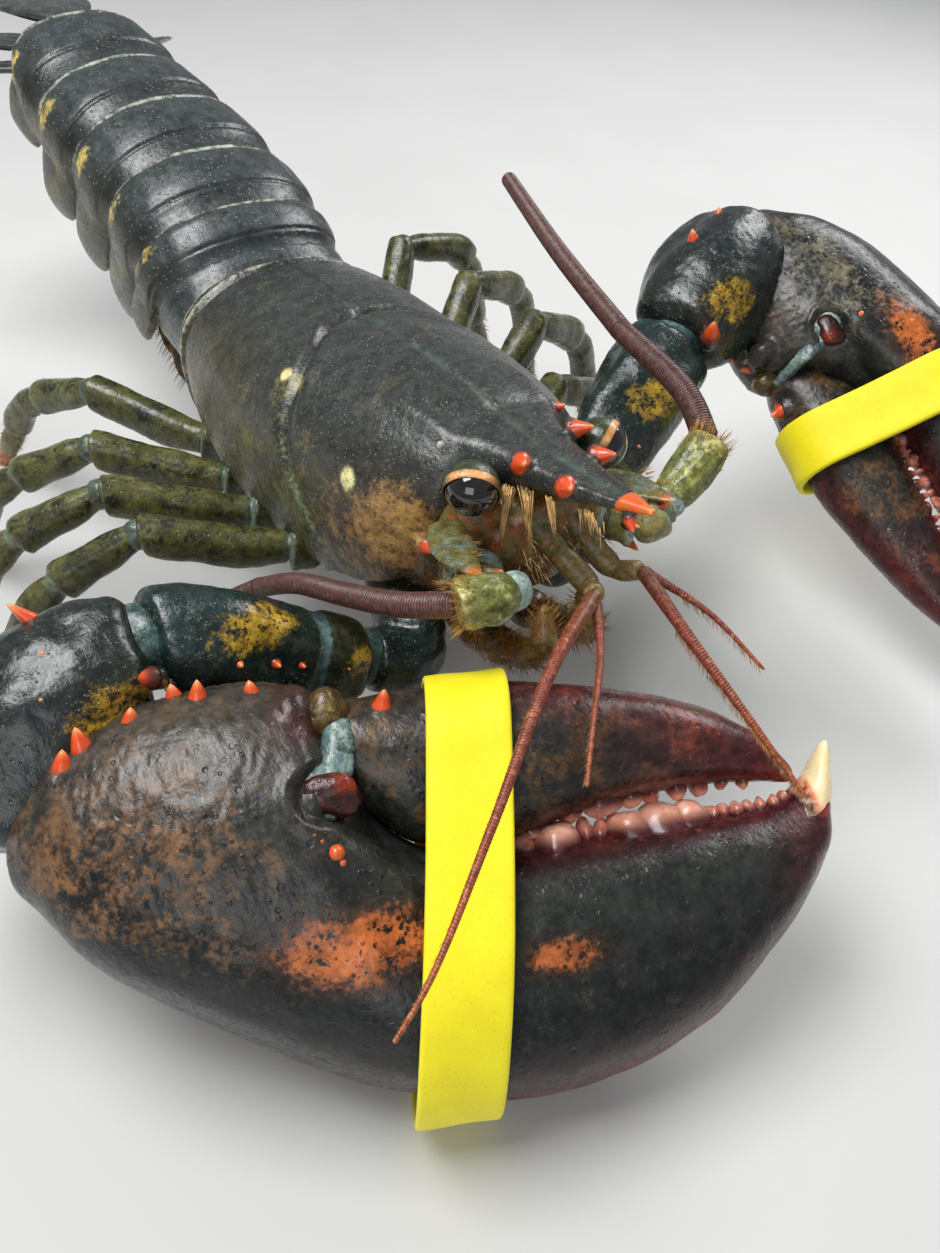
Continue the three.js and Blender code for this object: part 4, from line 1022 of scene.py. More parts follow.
def ring_paint(index, ring, x, z, back, q, over):
    """Blue slate above, lightened as a painted sheen, olive sides, painted shade across the front of each
    ring, a flecked rim, yellow marks, and a paler hem behind the first ring
    """
    depth, marked = ring.depth, index > 0
    side_way = soft(-depth * 0.35, -depth * 0.8, z)
    sides = soft(-depth * 0.1, -depth * 0.6, z) * 0.95 * marked
    # The slate on top is the ring's own colour, made lighter as a painted sheen; the sides turn to dark
    # olive
    paint = Paint(mix(SLATE_BLUE * 0.86, OLIVE * 0.34, sides), OLIVE_PALE * 0.6, 0.12 + 0.28 * side_way)
    # Painted shade across the front of each ring, in the hollow where it slides under the rim of the ring
    # ahead
    paint.wash(BLACK_SHELL * 0.8, 0.6 * bell(q - 0.2, 0.14) * over)
    paint.stain(rgb("#a3a598"), bell(q - 0.925, 0.055) * over * marked, 0.56)
    place = (ring.half * 0.9, -depth * 0.42, ring.span * 0.25)
    flash = marked * blob(np.stack([np.abs(x), z, back], 1), place, (4.6, 7, 3.2), 0.6)
    paint.stain(rgb("#b8a35a"), flash, 0.54)
    paint.stain(rgb("#a08a52"), marked * soft(-depth - ring.drop * 0.4, -depth - ring.drop, z), 0.45)
    return paint


def abdomen(setae):
    for index in range(6):
        ring = Ring(index)
        parts = [ring_skin(index)]
        if index:
            parts += [plate_skin(ring, side) for side in (-1, 1)]
        skin = relax(union(parts, VOXEL), 5)
        x, z, back = ring.local(skin[0])
        over = soft(-ring.depth * 0.75, -ring.depth * 0.45, z)
        q = back / ring.span + 0.5
        paint = ring_paint(index, ring, x, z, back, q, over)
        skin = push(skin, ring_relief(skin[0], index, ring, x, z, q, over))
        made = Skin().add(skin, paint.base, paint.mark, paint.share, 0.1)
        if 0 < index < 5:
            for side in (-1, 1):
                made.add(swimmeret(ring, side), OLIVE * 0.8, RUST * 0.8, 0.4, 0.1)
                fringe(setae, index, ring, side)
        made.build(f"abdomen_ring_{index + 1}", TAIL, "tail_shell", f"abdomen_{index + 1}")


def fringe(setae, index, ring, side):
    """Hairs along both edges of a swimmeret"""
    n = 80
    t = DRAW.uniform(0, 1, n)
    edge = np.where(DRAW.uniform(size=n) < 0.5, -1, 1)
    wide = 3 + 1.8 * np.sin(t * np.pi)
    x = side * (14 + 2 * t) + edge * wide * (1 - 0.7 * t ** 4)
    z = -ring.depth - 5 - 16.5 * t
    back = -1 - 9 * t
    roots = ring.centre + x[:, None] * ring.across + z[:, None] * ring.up + back[:, None] * ring.forward
    ways = edge[:, None] * ring.across - 0.9 * ring.up - 0.4 * ring.forward + DRAW.normal(0, 0.15, (n, 3))
    spots = np.stack([0.1 + 0.12 * index + 0.08 * t, 0.25 + 0.2 * side + 0.05 * edge], 1)
    setae.add(roots, ways, DRAW.uniform(2.2, 4.2, n), 0.1, -0.2 * ring.up, spots, AMBER * 0.7)


FAN_ROWS = [[0, 0.3, 1], [0.12, 0.55, 1], [0.4, 0.9, 0.8], [0.75, 1, 0.6], [0.93, 0.78, 0.5],
            [1, 0.45, 0.4]]
FAN = {
    "telson": (0, -4, 40, 13.5, 0, 6, 2.6, 5),
    "uropod_inner_right": (-9.5, -11, 42, 10.5, 0.33, 8, 1.6, 6),
    "uropod_inner_left": (9.5, -11, 42, 10.5, 0.33, 8, 1.6, 6),
    "uropod_outer_right": (-14.5, -16, 46, 12.5, 0.6, 11, 1.6, 7),
    "uropod_outer_left": (14.5, -16, 46, 12.5, 0.6, 11, 1.6, 7),
}


def tail_fan(setae):
    centre, across, up, forward = (v[0] for v in back_frame(RING_EDGES[6]))
    sides, hairs = 64, 420
    for name, (x0, z0, length, width, splay, droop, thick, curl) in FAN.items():
        def blade_line(t):
            """Way back, out and down of the blade's middle line"""
            out = x0 + np.sign(x0) * t * length * math.sin(splay)
            return GAP / 2 + t * length * math.cos(splay), out, z0 - droop * t - curl * t * t

        t = np.concatenate([np.linspace(0, 0.95, 44), np.linspace(0.96, 1, 6)])
        wide, deep = at(FAN_ROWS, t)
        a, b, _ = oval(sides, 2.6)
        back, out, low = blade_line(t)
        across_at = a[None, :] * width * wide[:, None]
        ribs = 0.5 * np.abs(np.sin(a * 2.2)) * soft(0.05, 0.25, t)[:, None] * np.sign(b)
        fan_ribs = 0.16 * np.sin(across_at * 3.4) * soft(0.5, 0.75, t)[:, None] * np.sign(b)
        seam = -0.45 * bell(t - 0.74, 0.012)[:, None] * (name.startswith("uropod_outer")) * np.sign(b)
        height = b[None, :] * (thick * deep)[:, None] * 0.8 + ribs * 0.5 + fan_ribs + seam
        points = centre + (out[:, None] + across_at)[..., None] * across
        points = points + (low[:, None] + height)[..., None] * up + back[:, None, None] * forward
        along = np.append(np.repeat(t, sides), [0, 1])
        base = mix(SLATE_BLUE * 0.8, OLIVE * 0.8, soft(0.55, 0.95, along))
        mark = mix(OLIVE_PALE * 0.6, RUST, soft(0.8, 1, along))
        made = Skin().add(loft(points), base, mark, 0.25 + 0.25 * soft(0.7, 1, along), 0.1)
        made.build("fan_" + name, TAIL, "tail_shell", name)
        turn = DRAW.uniform(-1, 1, hairs)
        edge_t = 0.8 + 0.2 * np.sqrt(np.clip(1 - turn ** 2, 0, 1)) * 0.98
        edge = np.sign(turn) * np.minimum(np.abs(turn) * 1.1, 1) * width * at(FAN_ROWS, edge_t)[0] * 0.97
        back, out, low = blade_line(edge_t)
        roots = centre + (out + edge)[:, None] * across + low[:, None] * up + back[:, None] * forward
        lean = turn * 0.5 + np.sign(x0) * math.sin(splay)
        ways = forward + lean[:, None] * across - 0.25 * up + DRAW.normal(0, 0.05, (hairs, 3))
        spots = np.stack([0.5 + 0.45 * turn, edge_t], 1)
        setae.add(roots, ways, DRAW.uniform(2.4, 3.8, hairs), 0.09, -0.1 * up, spots, rgb("#8a6a4a"))


# Eyes on their stalks
EYE_BALL = 5.25
CUP = 5.62


def eyes():
    rim_steps = 5
    cup_steps, turns = 36, 56
    for word, side in SIDES:
        centre, root = (body(x * side, y, z) for x, y, z in (EYE_CENTRE, STALK_ROOT))
        way = unit(*(centre - root))
        tilt = unit(*(way + np.array((0, -0.35, -0.8))))
        u = unit(*np.cross(tilt, UP))
        v = np.cross(u, tilt)
        ball = lump(centre, (u, v, tilt), (EYE_BALL,) * 3, 64)
        Skin().add(ball, (0.002, 0.002, 0.002)).build(f"eye_ball_{word}", EYE, "eye_gloss", f"eye_{word}")
        runs = ((0.02, 1.72, cup_steps), (1.74, 1.8, rim_steps), (1.8, 1.6, rim_steps))
        polar = np.concatenate([np.linspace(*run) for run in runs])
        outer = CUP - 0.12 * np.linspace(0, 1, rim_steps)
        radius = np.concatenate([np.full(cup_steps, CUP), outer,
                                 np.linspace(CUP - 0.3, CUP - 0.5, rim_steps)])
        turn = 2 * np.pi * np.arange(turns) / turns
        ring = np.cos(turn)[:, None] * u + np.sin(turn)[:, None] * v
        wave = 1 + 0.03 * np.sin(turn * 2 + 0.6)[None, :]
        around = (np.sin(polar)[:, None] * radius[:, None] * wave)[..., None] * ring
        points = centre + around - (np.cos(polar) * radius)[:, None, None] * tilt
        stalk = tube([root, centre - way * 2.2], [[0, 3.3, 3.3], [0.6, 3.8, 3.8], [1, 4.5, 4.5]], 12, 32)[0]
        p = np.append(np.repeat(polar, turns), [0, 1.6])
        a = np.append(np.tile(turn, len(polar)), [0, 0])
        crescent = soft(1.48, 1.56, p) * soft(0.35, 0.8, np.sin(a))
        base = mix(rgb("#1d2a1c"), rgb("#3f4a2a"), soft(0.6, 1.4, p) * 0.7)
        base = mix(base, rgb("#35301c"), soft(1.62, 1.72, p) * 0.7)
        base = mix(base, rgb("#d99a60"), crescent * 0.95)
        made = Skin().add(loft(points), base, mix(rgb("#101810"), base, crescent), 0.3 * (1 - crescent))
        made.add(stalk, rgb("#2a3222"), rgb("#4d4a2a"), 0.4)
        made.build(f"eye_stalk_{word}", ARM, "head_shell", f"eyestalk_{word}")


# Antennae: three barrels each, then a ringed lash in two lengths
ANTENNAE = {
    "right": {
        "stem": [body(-15, -112, 26), (-19, -121, 70)],
        "near": [(-28, -125, 75.5), (-34, -115, 70), (-38.5, -101, 63.5), (-42, -87, 57), (-45, -74, 47)],
        "far": [(-45, -74, 47), (-57, -61, 33), (-84, -56, 22), (-122, -54, 16), (-160, -66, 12)],
        "radii": (2.7, 2.2, 1.1),
    },
    "left": {
        "stem": [body(14, -112, 28), (22, -119, 72)],
        "near": [(41, -115, 82), (43.5, -104, 87), (44, -80, 90.5)],
        "far": [(44, -80, 90.5), (52, -47, 92), (67, -3, 92)],
        "radii": (2.9, 2.5, 2.1),
    },
}
STEM_JOINTS = (0.34, 0.62, 0.86)
# Spines of the stem: share of its length, turn round it, size
STEM_SPINES = [(0.33, 1.2, 1), (0.6, 0.4, 1.2), (0.6, 2.2, 1), (0.62, 4.2, 1), (0.84, 1.0, 0.9),
               (0.85, 3.4, 0.9), (0.58, 5.2, 1.1)]
SCALE_PATH = [(18, -110, 33), (22, -121, 34), (23.5, -131, 35)]
SCALE_SIZE = [[0, 3.4, 1.6], [0.4, 4.6, 1.2], [1, 0.5, 0.4]]
PEDUNCLE_SIZE = [[0, 5.4, 5.4], [0.25, 6.2, 6], [0.5, 5.2, 5], [0.75, 5.4, 5.2], [1, 3.6, 3.4]]
RING_STEP = 0.62


def ringed(step, depth):
    """Rings of a lash: a small step at each one"""
    def shape(t, angle, length):
        saw = (t * length / step) % 1.0
        return 1 - depth * np.exp(-((saw - 0.5) / 0.22) ** 2) + 0 * angle
    return shape


def barrels(joints, depth, width=0.035):
    """Swelling between the joints of a limb, with a narrow neck at each"""
    def shape(t, angle, length):
        out = np.ones(np.broadcast(t, angle).shape)
        for joint in joints:
            out = out - depth * np.exp(-((t - joint) / width) ** 2)
            out = out + depth * 0.35 * np.exp(-((t - joint + width * 2.2) / (width * 1.4)) ** 2)
        return out
    return shape


def segments(joints, narrow, flare):
    """Limb whose every length starts narrow, swells, and ends in a flared rim before a tight neck"""
    edges = np.array([0, *joints, 1])

    def shape(t, angle, length):
        k = np.clip(np.searchsorted(edges, t, side="right") - 1, 0, len(edges) - 2)
        u = (t - edges[k]) / (edges[k + 1] - edges[k])
        span = (edges[k + 1] - edges[k]) * length
        swell = narrow + (1 - narrow) * soft(0, 0.35, u) + flare * soft(0.55, 0.92, u)
        neck = bell((1 - u) * span, 0.55) * (k < len(edges) - 2) + bell(u * span, 0.45) * (k > 0)
        return swell * (1 - 0.2 * np.minimum(neck, 1)) + 0 * angle
    return shape


LAST_BARREL = {
    "right": [(-17.5, -126.2, 74.6), (-22.5, -126.6, 76), (-29.2, -124.8, 75.4)],
    "left": [(27.5, -119.2, 74.6), (34, -118, 78.6), (41.6, -115, 82.4)],
}


def fluted(t, angle, length):
    """Long ridges that fade towards both ends"""
    return 1 + 0.045 * np.cos(9 * angle + 2 * t) * np.sin(np.pi * t) + 0.03 * np.cos(4 * angle + 5 * t)


LAST_BARREL_SIZE = [[0, 3.0, 3.0], [0.16, 4.3, 4.0], [0.5, 4.8, 4.4], [0.8, 5.0, 4.5], [0.94, 4.8, 4.4],
                    [1, 3.9, 3.6]]


def antenna_base(word, parts, setae):
    """Stem of three segments, pale knuckle, and the fluted last barrel with its bristles"""
    stem = parts["stem"] + [LAST_BARREL[word][0]]
    shape = segments(STEM_JOINTS, 0.82, 0.1)
    base_shape, t, _ = tube(stem, PEDUNCLE_SIZE, 90, 40, 2.1, rounds=(0, 1.6), shape=shape)
    neck = np.max([bell(t - joint, 0.03) for joint in STEM_JOINTS], axis=0)
    tone = mix(OLIVE * 0.7, rgb("#8b8a4e"), soft(0.3, 0.7, t))
    mark = mix(OLIVE_PALE, AMBER, soft(0.5, 0.9, t))
    base_shape = push(base_shape, 0.35 * (layers(base_shape[0], 2.5, 31, 2) - 0.5))
    made = Skin().add(base_shape, mix(tone, rgb("#9fb8b4"), neck * 0.9), mark, 0.35 * (1 - neck), 0.15)
    knuckle = lump(np.array(LAST_BARREL[word][0]) + (0.6, 0, 0), np.eye(3), (3.9, 3.9, 3.9), 30, 0.15, 3)
    tone = mix(rgb("#7f9c98"), rgb("#c4d0c4"), noise(knuckle[0], 2.5, 6))
    made.add(knuckle, tone, rgb("#5c7a76"), 0.4)
    barrel, t, _ = tube(LAST_BARREL[word], LAST_BARREL_SIZE, 80, 56, 2.2, rounds=(1.0, 1.2), shape=fluted)
    barrel = push(barrel, 0.3 * (layers(barrel[0], 2.0, 33, 2) - 0.5))
    tone = mix(rgb("#3c4a28"), rgb("#8c8c44"), noise(barrel[0], 3.4, 12))
    made.add(barrel, mix(tone, rgb("#a8843c"), soft(0.72, 1.0, t) * 0.6), rgb("#b9b878"), 0.34, 0.3)
    made.build(f"antenna_base_{word}", ARM, "head_shell", f"antenna_peduncle_{word}")
    route = Route(LAST_BARREL[word])
    collar(setae, route, 0.93, 4.6, 90, 1.8, 3.2, 0.5)
    collar(setae, route, 0.7, 4.7, 40, 1.2, 2.0, 0.9)
    route = Route(stem)
    tips = Skin()
    for place, turn, size in STEM_SPINES:
        axis = route.way(place)
        u = unit(*np.cross(axis, UP))
        out = math.cos(turn) * u + math.sin(turn) * np.cross(u, axis)
        spot = route.point(place) + out * at(PEDUNCLE_SIZE, place)[0][0] * 0.92
        red_spine(tips, thorn(spot, unit(*(out * 0.7 + axis)), 2.6 * size, 0.85 * size), 0.0, 0.4)
    tips.build(f"antenna_spines_{word}", HORN, "head_shell")
    collar(setae, route, 0.6, 5.0, 34, 1.6, 2.2)


def antenna_lash(word, near, far, radii):
    """Ringed lash in two lengths that meet in one plane"""
    near_way = unit(*(np.array(near[-1]) - near[-2]))
    bend = unit(*(unit(*(np.array(far[1]) - far[0])) + near_way))
    lash = Skin()
    for path, first, last, steps, start, end, rounds in (
            (near, radii[0], radii[1], 560, None, bend, (2.0, 0)),
            (far, radii[1], radii[2], 1200, bend, None, (0, 1.5))):
        size = [[0, first, first], [1, last, last]]
        rings = ringed(RING_STEP, 0.06)
        shape, t, _ = tube(path, size, steps, 20, start=start, end=end, rounds=rounds, shape=rings)
        ring = (t * Route(path).length / RING_STEP) % 1.0
        dark = bell(ring - 0.5, 0.22)
        shade = mix(LASH, rgb("#6e4a42"), 0.5 * (1 - dark))
        lash.add(shape, mix(shade, rgb("#24181a"), dark * 0.7), rgb("#7a6a60"), 0.2, 0.05)
    lash.build(f"antenna_lash_{word}", FEELER, "feeler_shell", f"antenna_near_{word}",
               f"antenna_far_{word}")


def antennae(setae):
    for word, side in SIDES:
        parts = ANTENNAE[word]
        antenna_base(word, parts, setae)
        antenna_lash(word, parts["near"], parts["far"], parts["radii"])
        path = [body(side * x, y, z) for x, y, z in SCALE_PATH]
        flap, t, _ = tube(path, SCALE_SIZE, 40, 28, 2.3, rounds=(0, 1.2))
        made = Skin().add(flap, mix(OLIVE_PALE * 0.8, ORANGE, soft(0.75, 1, t)), rgb("#6f8a86"), 0.4)
        made.build(f"antenna_scale_{word}", ARM, "head_shell", f"antennal_scale_{word}")
        collar(setae, Route(path), 0.55, 3.6, 40, 1.6, 2.6)
        collar(setae, Route(path), 0.75, 2.6, 34, 1.4, 2.4)


def collar(setae, route, place, radius, count, low, high, lean=0.8, tint=AMBER, thick=0.1):
    """Ring of bristles round a limb"""
    axis = route.way(place)
    u = unit(*np.cross(axis, UP))
    v = np.cross(u, axis)
    turn = DRAW.uniform(0, 2 * np.pi, count)
    out = np.cos(turn)[:, None] * u + np.sin(turn)[:, None] * v
    roots = route.point(place) + out * radius * 0.95 + DRAW.normal(0, 0.4, (count, 1)) * axis
    ways = out * lean + axis * 0.9 + DRAW.normal(0, 0.12, (count, 3))
    spots = np.stack([turn / (2 * np.pi), np.full(count, place)], 1)
    setae.add(roots, ways, DRAW.uniform(low, high, count), thick, 0.15 * axis, spots, tint)


ANTENNULES = {
    "right": {
        "stem": [body(-4, -117, 35), (4, -125, 66), (0, -131, 70)],
        "outer": [(0, -131, 70), (-24, -147.6, 77), (-49.4, -167, 73), (-68.6, -180, 64), (-77, -184, 61)],
        "inner": [(0, -131, 70), (-9, -144, 70), (-20, -156, 69), (-28, -165, 66)],
    },
    "left": {
        "stem": [body(5, -117, 35), (11, -124, 67), (13, -130, 70)],
        "outer": [(13, -130, 70), (8, -147, 71), (9, -166, 64), (12, -182, 55)],
        "inner": [(13, -130, 70), (20, -143, 66), (24, -157, 60)],
    },
}


ANTENNULE_STEM_SIZE = [[0, 2.4, 2.4], [0.5, 2.6, 2.6], [1, 2.0, 2.0]]
# Lashes: name, size rows, steps along, number of bristles
ANTENNULE_LASHES = [
    ("outer", [[0, 1.7, 1.7], [0.3, 1.25, 1.25], [1, 0.4, 0.4]], 720, 420),
    ("inner", [[0, 1.3, 1.3], [0.3, 0.8, 0.8], [1, 0.35, 0.35]], 380, 110),
]


def antennules(setae):
    for word, _ in SIDES:
        parts = ANTENNULES[word]
        made = Skin()
        shape = barrels((0.4, 0.75), 0.14, 0.05)
        stem, t, _ = tube(parts["stem"], ANTENNULE_STEM_SIZE, 50, 26, rounds=(0, 1.2), shape=shape)
        made.add(stem, mix(OLIVE, rgb("#8a7a4c"), t), RUST * 0.8, 0.35)
        for key, size, steps, bristles in ANTENNULE_LASHES:
            rings = ringed(RING_STEP, 0.1)
            shape, t, _ = tube(parts[key], size, steps, 16, rounds=(1, 0.8), shape=rings)
            route = Route(parts[key])
            ring = (t * route.length / RING_STEP) % 1.0
            dark = bell(ring - 0.5, 0.22)
            base = mix(rgb("#7a4a34"), rgb("#8a3c24"), soft(0, 0.3, t))
            base = mix(base, rgb("#b4622c"), soft(0.5, 1, t) * 0.8)
            made.add(shape, mix(base, rgb("#4a201a"), dark * 0.6), rgb("#b98a66"), 0.25)
            where = DRAW.uniform(0.3, 0.97, bristles)
            axis = route.way(where)
            down = each_unit(-UP + 0.5 * each_unit(np.cross(axis, UP)))
            roots = route.point(where) + down * at(size, where)[0][:, None] * 0.9
            ways = down + axis * 0.6 + DRAW.normal(0, 0.2, (bristles, 3))
            spots = np.stack([where, DRAW.uniform(0.6, 0.7, bristles)], 1)
            setae.add(roots, ways, DRAW.uniform(0.9, 1.9, bristles), 0.05, 0.2 * axis, spots,
                      rgb("#b98a58"))
        made.build(f"antennule_lashes_{word}", FEELER, "feeler_shell", f"antennule_{word}")


# Bristles round the mouth and under the rostrum, and the mouth legs
# Tufts round the mouth and under the rostrum: number, place, spread, way, shortest, longest
MOUTH_TUFTS = [
    (34, (8.8, -118.6, 43), (1.1, 1.0, 0.6), (0.3, -0.2, -1.0), 8, 11.5),
    (38, (7.0, -122.4, 43.4), (0.9, 1.5, 0.6), (0.2, -0.5, -1.0), 7, 10),
    (16, (5.6, -127.5, 43.8), (0.7, 0.9, 0.6), (0.3, -0.8, -0.7), 5.1, 6),
    (26, (3.4, -136.5, 44.4), (0.8, 3.5, 0.6), (0.2, -0.7, -0.8), 2, 4),
    (40, (4, -121, 26), (3.0, 1.5, 4.0), (0.1, -1.0, -0.2), 2.0, 4.5),
    (40, (14, -118, 22), (3.5, 2.0, 4.0), (0.4, -0.9, -0.2), 1.8, 4.0),
]
LONG_BRISTLE = 5
MOUTH_LEG_PATH = [(6, -92, 1), (7, -106, 0), (7.5, -119, 3), (6.5, -128, 9), (4.5, -126, 18)]
MOUTH_LEG_SIZE = [[0, 4.2, 3.6], [0.3, 4.6, 4], [0.6, 3.6, 3.2], [0.85, 2.8, 2.6], [1, 1.2, 1.2]]


def mouth(setae):
    for side in (-1, 1):
        for count, place, spread, way, low, high in MOUTH_TUFTS:
            scatter = DRAW.normal(0, 0.6, (3, count)) * np.array(spread)[:, None]
            roots = body(*(np.array(place)[:, None] * ((side,), (1,), (1,)) + scatter))
            turned = body(way[0] * side, way[1], way[2]) - body(0, 0, 0)
            if high > LONG_BRISTLE:
                ways = turned * 7 - (roots - roots.mean(0)) * 0.9 + DRAW.normal(0, 0.25, (count, 3))
            else:
                ways = turned + DRAW.normal(0, 0.22, (count, 3))
            spots = np.stack([DRAW.uniform(0.2, 0.8, count), DRAW.uniform(0.1, 0.4, count)], 1)
            setae.add(roots, ways, DRAW.uniform(low, high, count), 0.16, (0, 0, -0.25), spots,
                      rgb("#cfa668"))
    for word, side in SIDES:
        path = [body(side * x, y, z) for x, y, z in MOUTH_LEG_PATH]
        shape = barrels((0.36, 0.58, 0.8), 0.14, 0.03)
        leg, t, _ = tube(path, MOUTH_LEG_SIZE, 90, 30, 2.3, rounds=(0, 1.4), shape=shape)
        made = Skin().add(leg, mix(OLIVE * 0.9, rgb("#8a7440"), soft(0.3, 0.9, t)), RUST, 0.45, 0.3)
        made.build(f"mouth_leg_{word}", LEG, "head_shell", f"maxilliped_{word}")
        route = Route(path)
        for place in np.linspace(0.3, 0.97, 22):
            radius = 3.4 - 2.0 * max(0, place - 0.6) / 0.4
            collar(setae, route, place, radius, 26, 1.6, 3.6, 1.3)


# Claws: rows of [distance from the heel, low edge, high edge, half thickness]
CRUSHER_PALM = [
    [0, -7, 8, 9], [4, -11, 13, 13], [12, -21, 19, 17.5], [25.5, -31, 25, 20.5], [41, -40.4, 26.5, 22],
    [52, -46, 24.5, 22], [60, -49.4, 8, 21.6], [66, -51.4, -3, 21], [75, -53.8, -9, 20],
    [88, -55.4, -10.5, 18.5],
    [104.7, -53.5, -9.5, 16.5], [121, -47.2, -8.6, 14.5], [136.6, -35.2, -8.2, 11.5],
    [147.6, -22.4, -5.5, 7],
    [152.3, -9, 0.4, 2.4],
]
CRUSHER_FINGER = [
    [54, 3, 18, 9], [62, 0, 21, 12.5], [72, -7, 21.8, 13], [88, -8, 21.6, 12.6], [107, -4, 18.8, 11],
    [127, -2.8, 13, 8.4], [139, -3.6, 6.2, 5.4], [145.3, -4.4, -1, 2],
]
CUTTER_PALM = [
    [0, -7, 8, 8], [3.5, -10, 12, 11], [10, -18, 17, 14.5], [21.5, -26, 20, 17], [34.5, -31, 21, 18],
    [44, -34, 19.5, 17.6], [51, -36, 6, 17], [56, -37, -2, 16], [64, -37.5, -8, 15], [76, -36.5, -10, 13.4],
    [92, -33.5, -10.6, 11.6], [109, -28.5, -10, 9.6], [126, -21, -8, 6.6], [139, -9, -4, 2],
]
CUTTER_FINGER = [
    [46, 3, 15, 8], [53, -1, 17, 10.5], [61, -6.6, 17.2, 11], [76, -8, 16.4, 10], [94, -8, 13, 8.2],
    [115, -6.4, 6.8, 6], [129, -4.6, 1, 4], [136, -4, -1.4, 1.4],
]
CLAWS = {
    "right": {
        "heel": (-110.1, -108.9, 38.4), "axis": (0.903, -0.425, 0.07), "toward": (0.286, 0.714, 0.639),
        "palm": CRUSHER_PALM, "finger": CRUSHER_FINGER, "length": 152.3, "end": 145.3, "hinge": 54,
        "band": 76, "lean": 0.138,
        "teeth": [(86.5, 2.2, 2.2), (91.3, 2.6, 3.2), (97.3, 4.4, 4.4), (103.2, 1.7, 3.6),
                  (106.4, 1.7, 3.4),
                  (112, 4.0, 4.2), (118, 5.0, 4.6), (123.6, 3.6, 3.6), (128, 1.3, 2.2), (130.6, 1.3, 2.0),
                  (133.1, 1.3, 2.0), (135.6, 1.2, 2.0), (138, 1.2, 1.9), (140.4, 1.1, 1.8),
                  (142.8, 1.0, 1.7),
                  (145.2, 1.0, 1.5)],
        "finger_teeth": [(93, 2.0, 1.6), (101, 2.2, 1.8), (107, 3.4, 2.8), (112.5, 2.2, 2.0),
                         (117, 1.6, 2.2),
                         (121.8, 1.7, 2.4), (126.3, 1.7, 2.4), (131, 1.2, 1.6), (135, 1.1, 1.4)],
        "spines": [(11.2, 14.2, 10.2), (14.9, 17.2, 8.6), (23, 20.8, 8), (30.4, 24.2, 2.6),
                   (34.9, 23.2, 7), (44.6, 23.2, 6.8)],
        "finger_spine": (67.4, 18.6),
        "knob": (56.4, 4.8, 17.4), "lobe": (51.4, 18.6, 7), "ball": (57.2, 18.6, 7.6),
        "open": (59, 12, 12.4),
        "size": 1.0,
    },
    "left": {
        "heel": (127.7, -38.6, 81), "axis": (-0.138, -0.886, -0.442), "toward": (-0.844, 0.338, -0.416),
        "palm": CUTTER_PALM, "finger": CUTTER_FINGER, "length": 139, "end": 136, "hinge": 46,
        "band": 62, "lean": 0,
        "teeth": [(s, 1.3 + 0.5 * math.sin(s), 1.9 + 0.4 * math.sin(s * 1.7))
                  for s in np.arange(70, 131, 3.2)],
        "finger_teeth": [(s, 1.3 + 0.4 * math.sin(s), 1.7 + 0.4 * math.sin(s * 1.3))
                         for s in np.arange(72, 128, 3.4)],
        "spines": [(8, 14, 2), (14, 18, 2.5), (21, 19.6, 2), (28, 20.4, 2.5), (35.5, 20.4, 2.2),
                   (42, 18, 5)],
        "finger_spine": (57, 16),
        "knob": (44.6, -2.2, 16.6), "lobe": (41.5, 14.5, 9.5), "ball": (47, 15.4, 4),
        "open": (47.5, 5.2, 14),
        "size": 0.82,
    },
}


class ClawFrame:
    """Frame of a claw: its heel, the way to the tips, the way to the hinged finger, and out of its face"""

    def __init__(self, heel, axis, toward):
        self.heel = np.array(heel)
        self.axis = unit(*axis)
        toward = np.array(toward)
        self.across = unit(*(toward - self.axis * toward.dot(self.axis)))
        self.out = unit(*np.cross(self.across, self.axis))
        if self.out[2] < 0:
            self.out = -self.out
        self.axes = (self.axis, self.across, self.out)

    def point(self, s, a, n):
        s, a, n = (np.asarray(v, float)[..., None] for v in np.broadcast_arrays(s, a, n))
        return self.heel + s * self.axis + a * self.across + n * self.out

    def local(self, points):
        away = points - self.heel
        return away @ self.axis, away @ self.across, away @ self.out


def blade(place, rows, start, end, steps, sides, square=2.2):
    s = np.linspace(start, end, steps)
    low, high, thick = at(rows, s)
    a, b, _ = oval(sides, square)
    across = ((low + high) / 2)[:, None] + a * ((high - low) / 2)[:, None]
    return loft(place.point(s[:, None], across, b * thick[:, None]))


def on_face(rows, s, a):
    """Height of a claw's face over a point"""
    low, high, thick = (v[0] for v in at(rows, s))
    share = np.clip(abs(a - (low + high) / 2) / ((high - low) / 2), 0, 0.98)
    return thick * (1 - share ** 2.2) ** (1 / 2.2)


def flat_floor(skin):
    """Skin that comes to rest on the floor on a small flat"""
    points = skin[0].copy()
    points[:, 2] = np.maximum(points[:, 2], 0.02)
    return points, skin[1], skin[2]


# Teeth longer than this are the pale molars
MOLAR_HALF = 1.8


def tooth_row(made, place, rows, teeth, edge, sign, seed):
    for k, (s, half, tall) in enumerate(teeth):
        values = at(rows, s)
        line, thick = values[edge][0], values[2][0]
        centre = place.point(s, line - sign * tall * 0.25, 1.2 + 0.4 * math.sin(seed + 2.3 * k))
        wide = min(half * 1.15, thick * 0.5) + 0.5
        shape = lump(centre, place.axes, (half * 1.12, tall * 1.15, wide), 26, 0.45, seed + k)
        height = (place.local(shape[0])[1] - line) * sign
        big = 1 if half > MOLAR_HALF else 0.6
        base = mix(rgb("#4a1018"), mix(rgb("#b8402c"), FLESH, big), soft(-0.6, 0.6 * tall, height))
        # The near-white on the upper part of each big molar is partly its pale own colour and partly a
        # painted highlight
        made.add(shape, base, mix(base, rgb("#f7cdb8"), 0.8 * big * soft(0.2 * tall, 0.8 * tall, height)))


# Beads below the knob: along, across, radius
TUBERCLES = [(0, 0, 1.5), (-3.4, 3.6, 0.8), (-2.2, 2.2, 0.6), (0.8, -1.8, 0.8)]
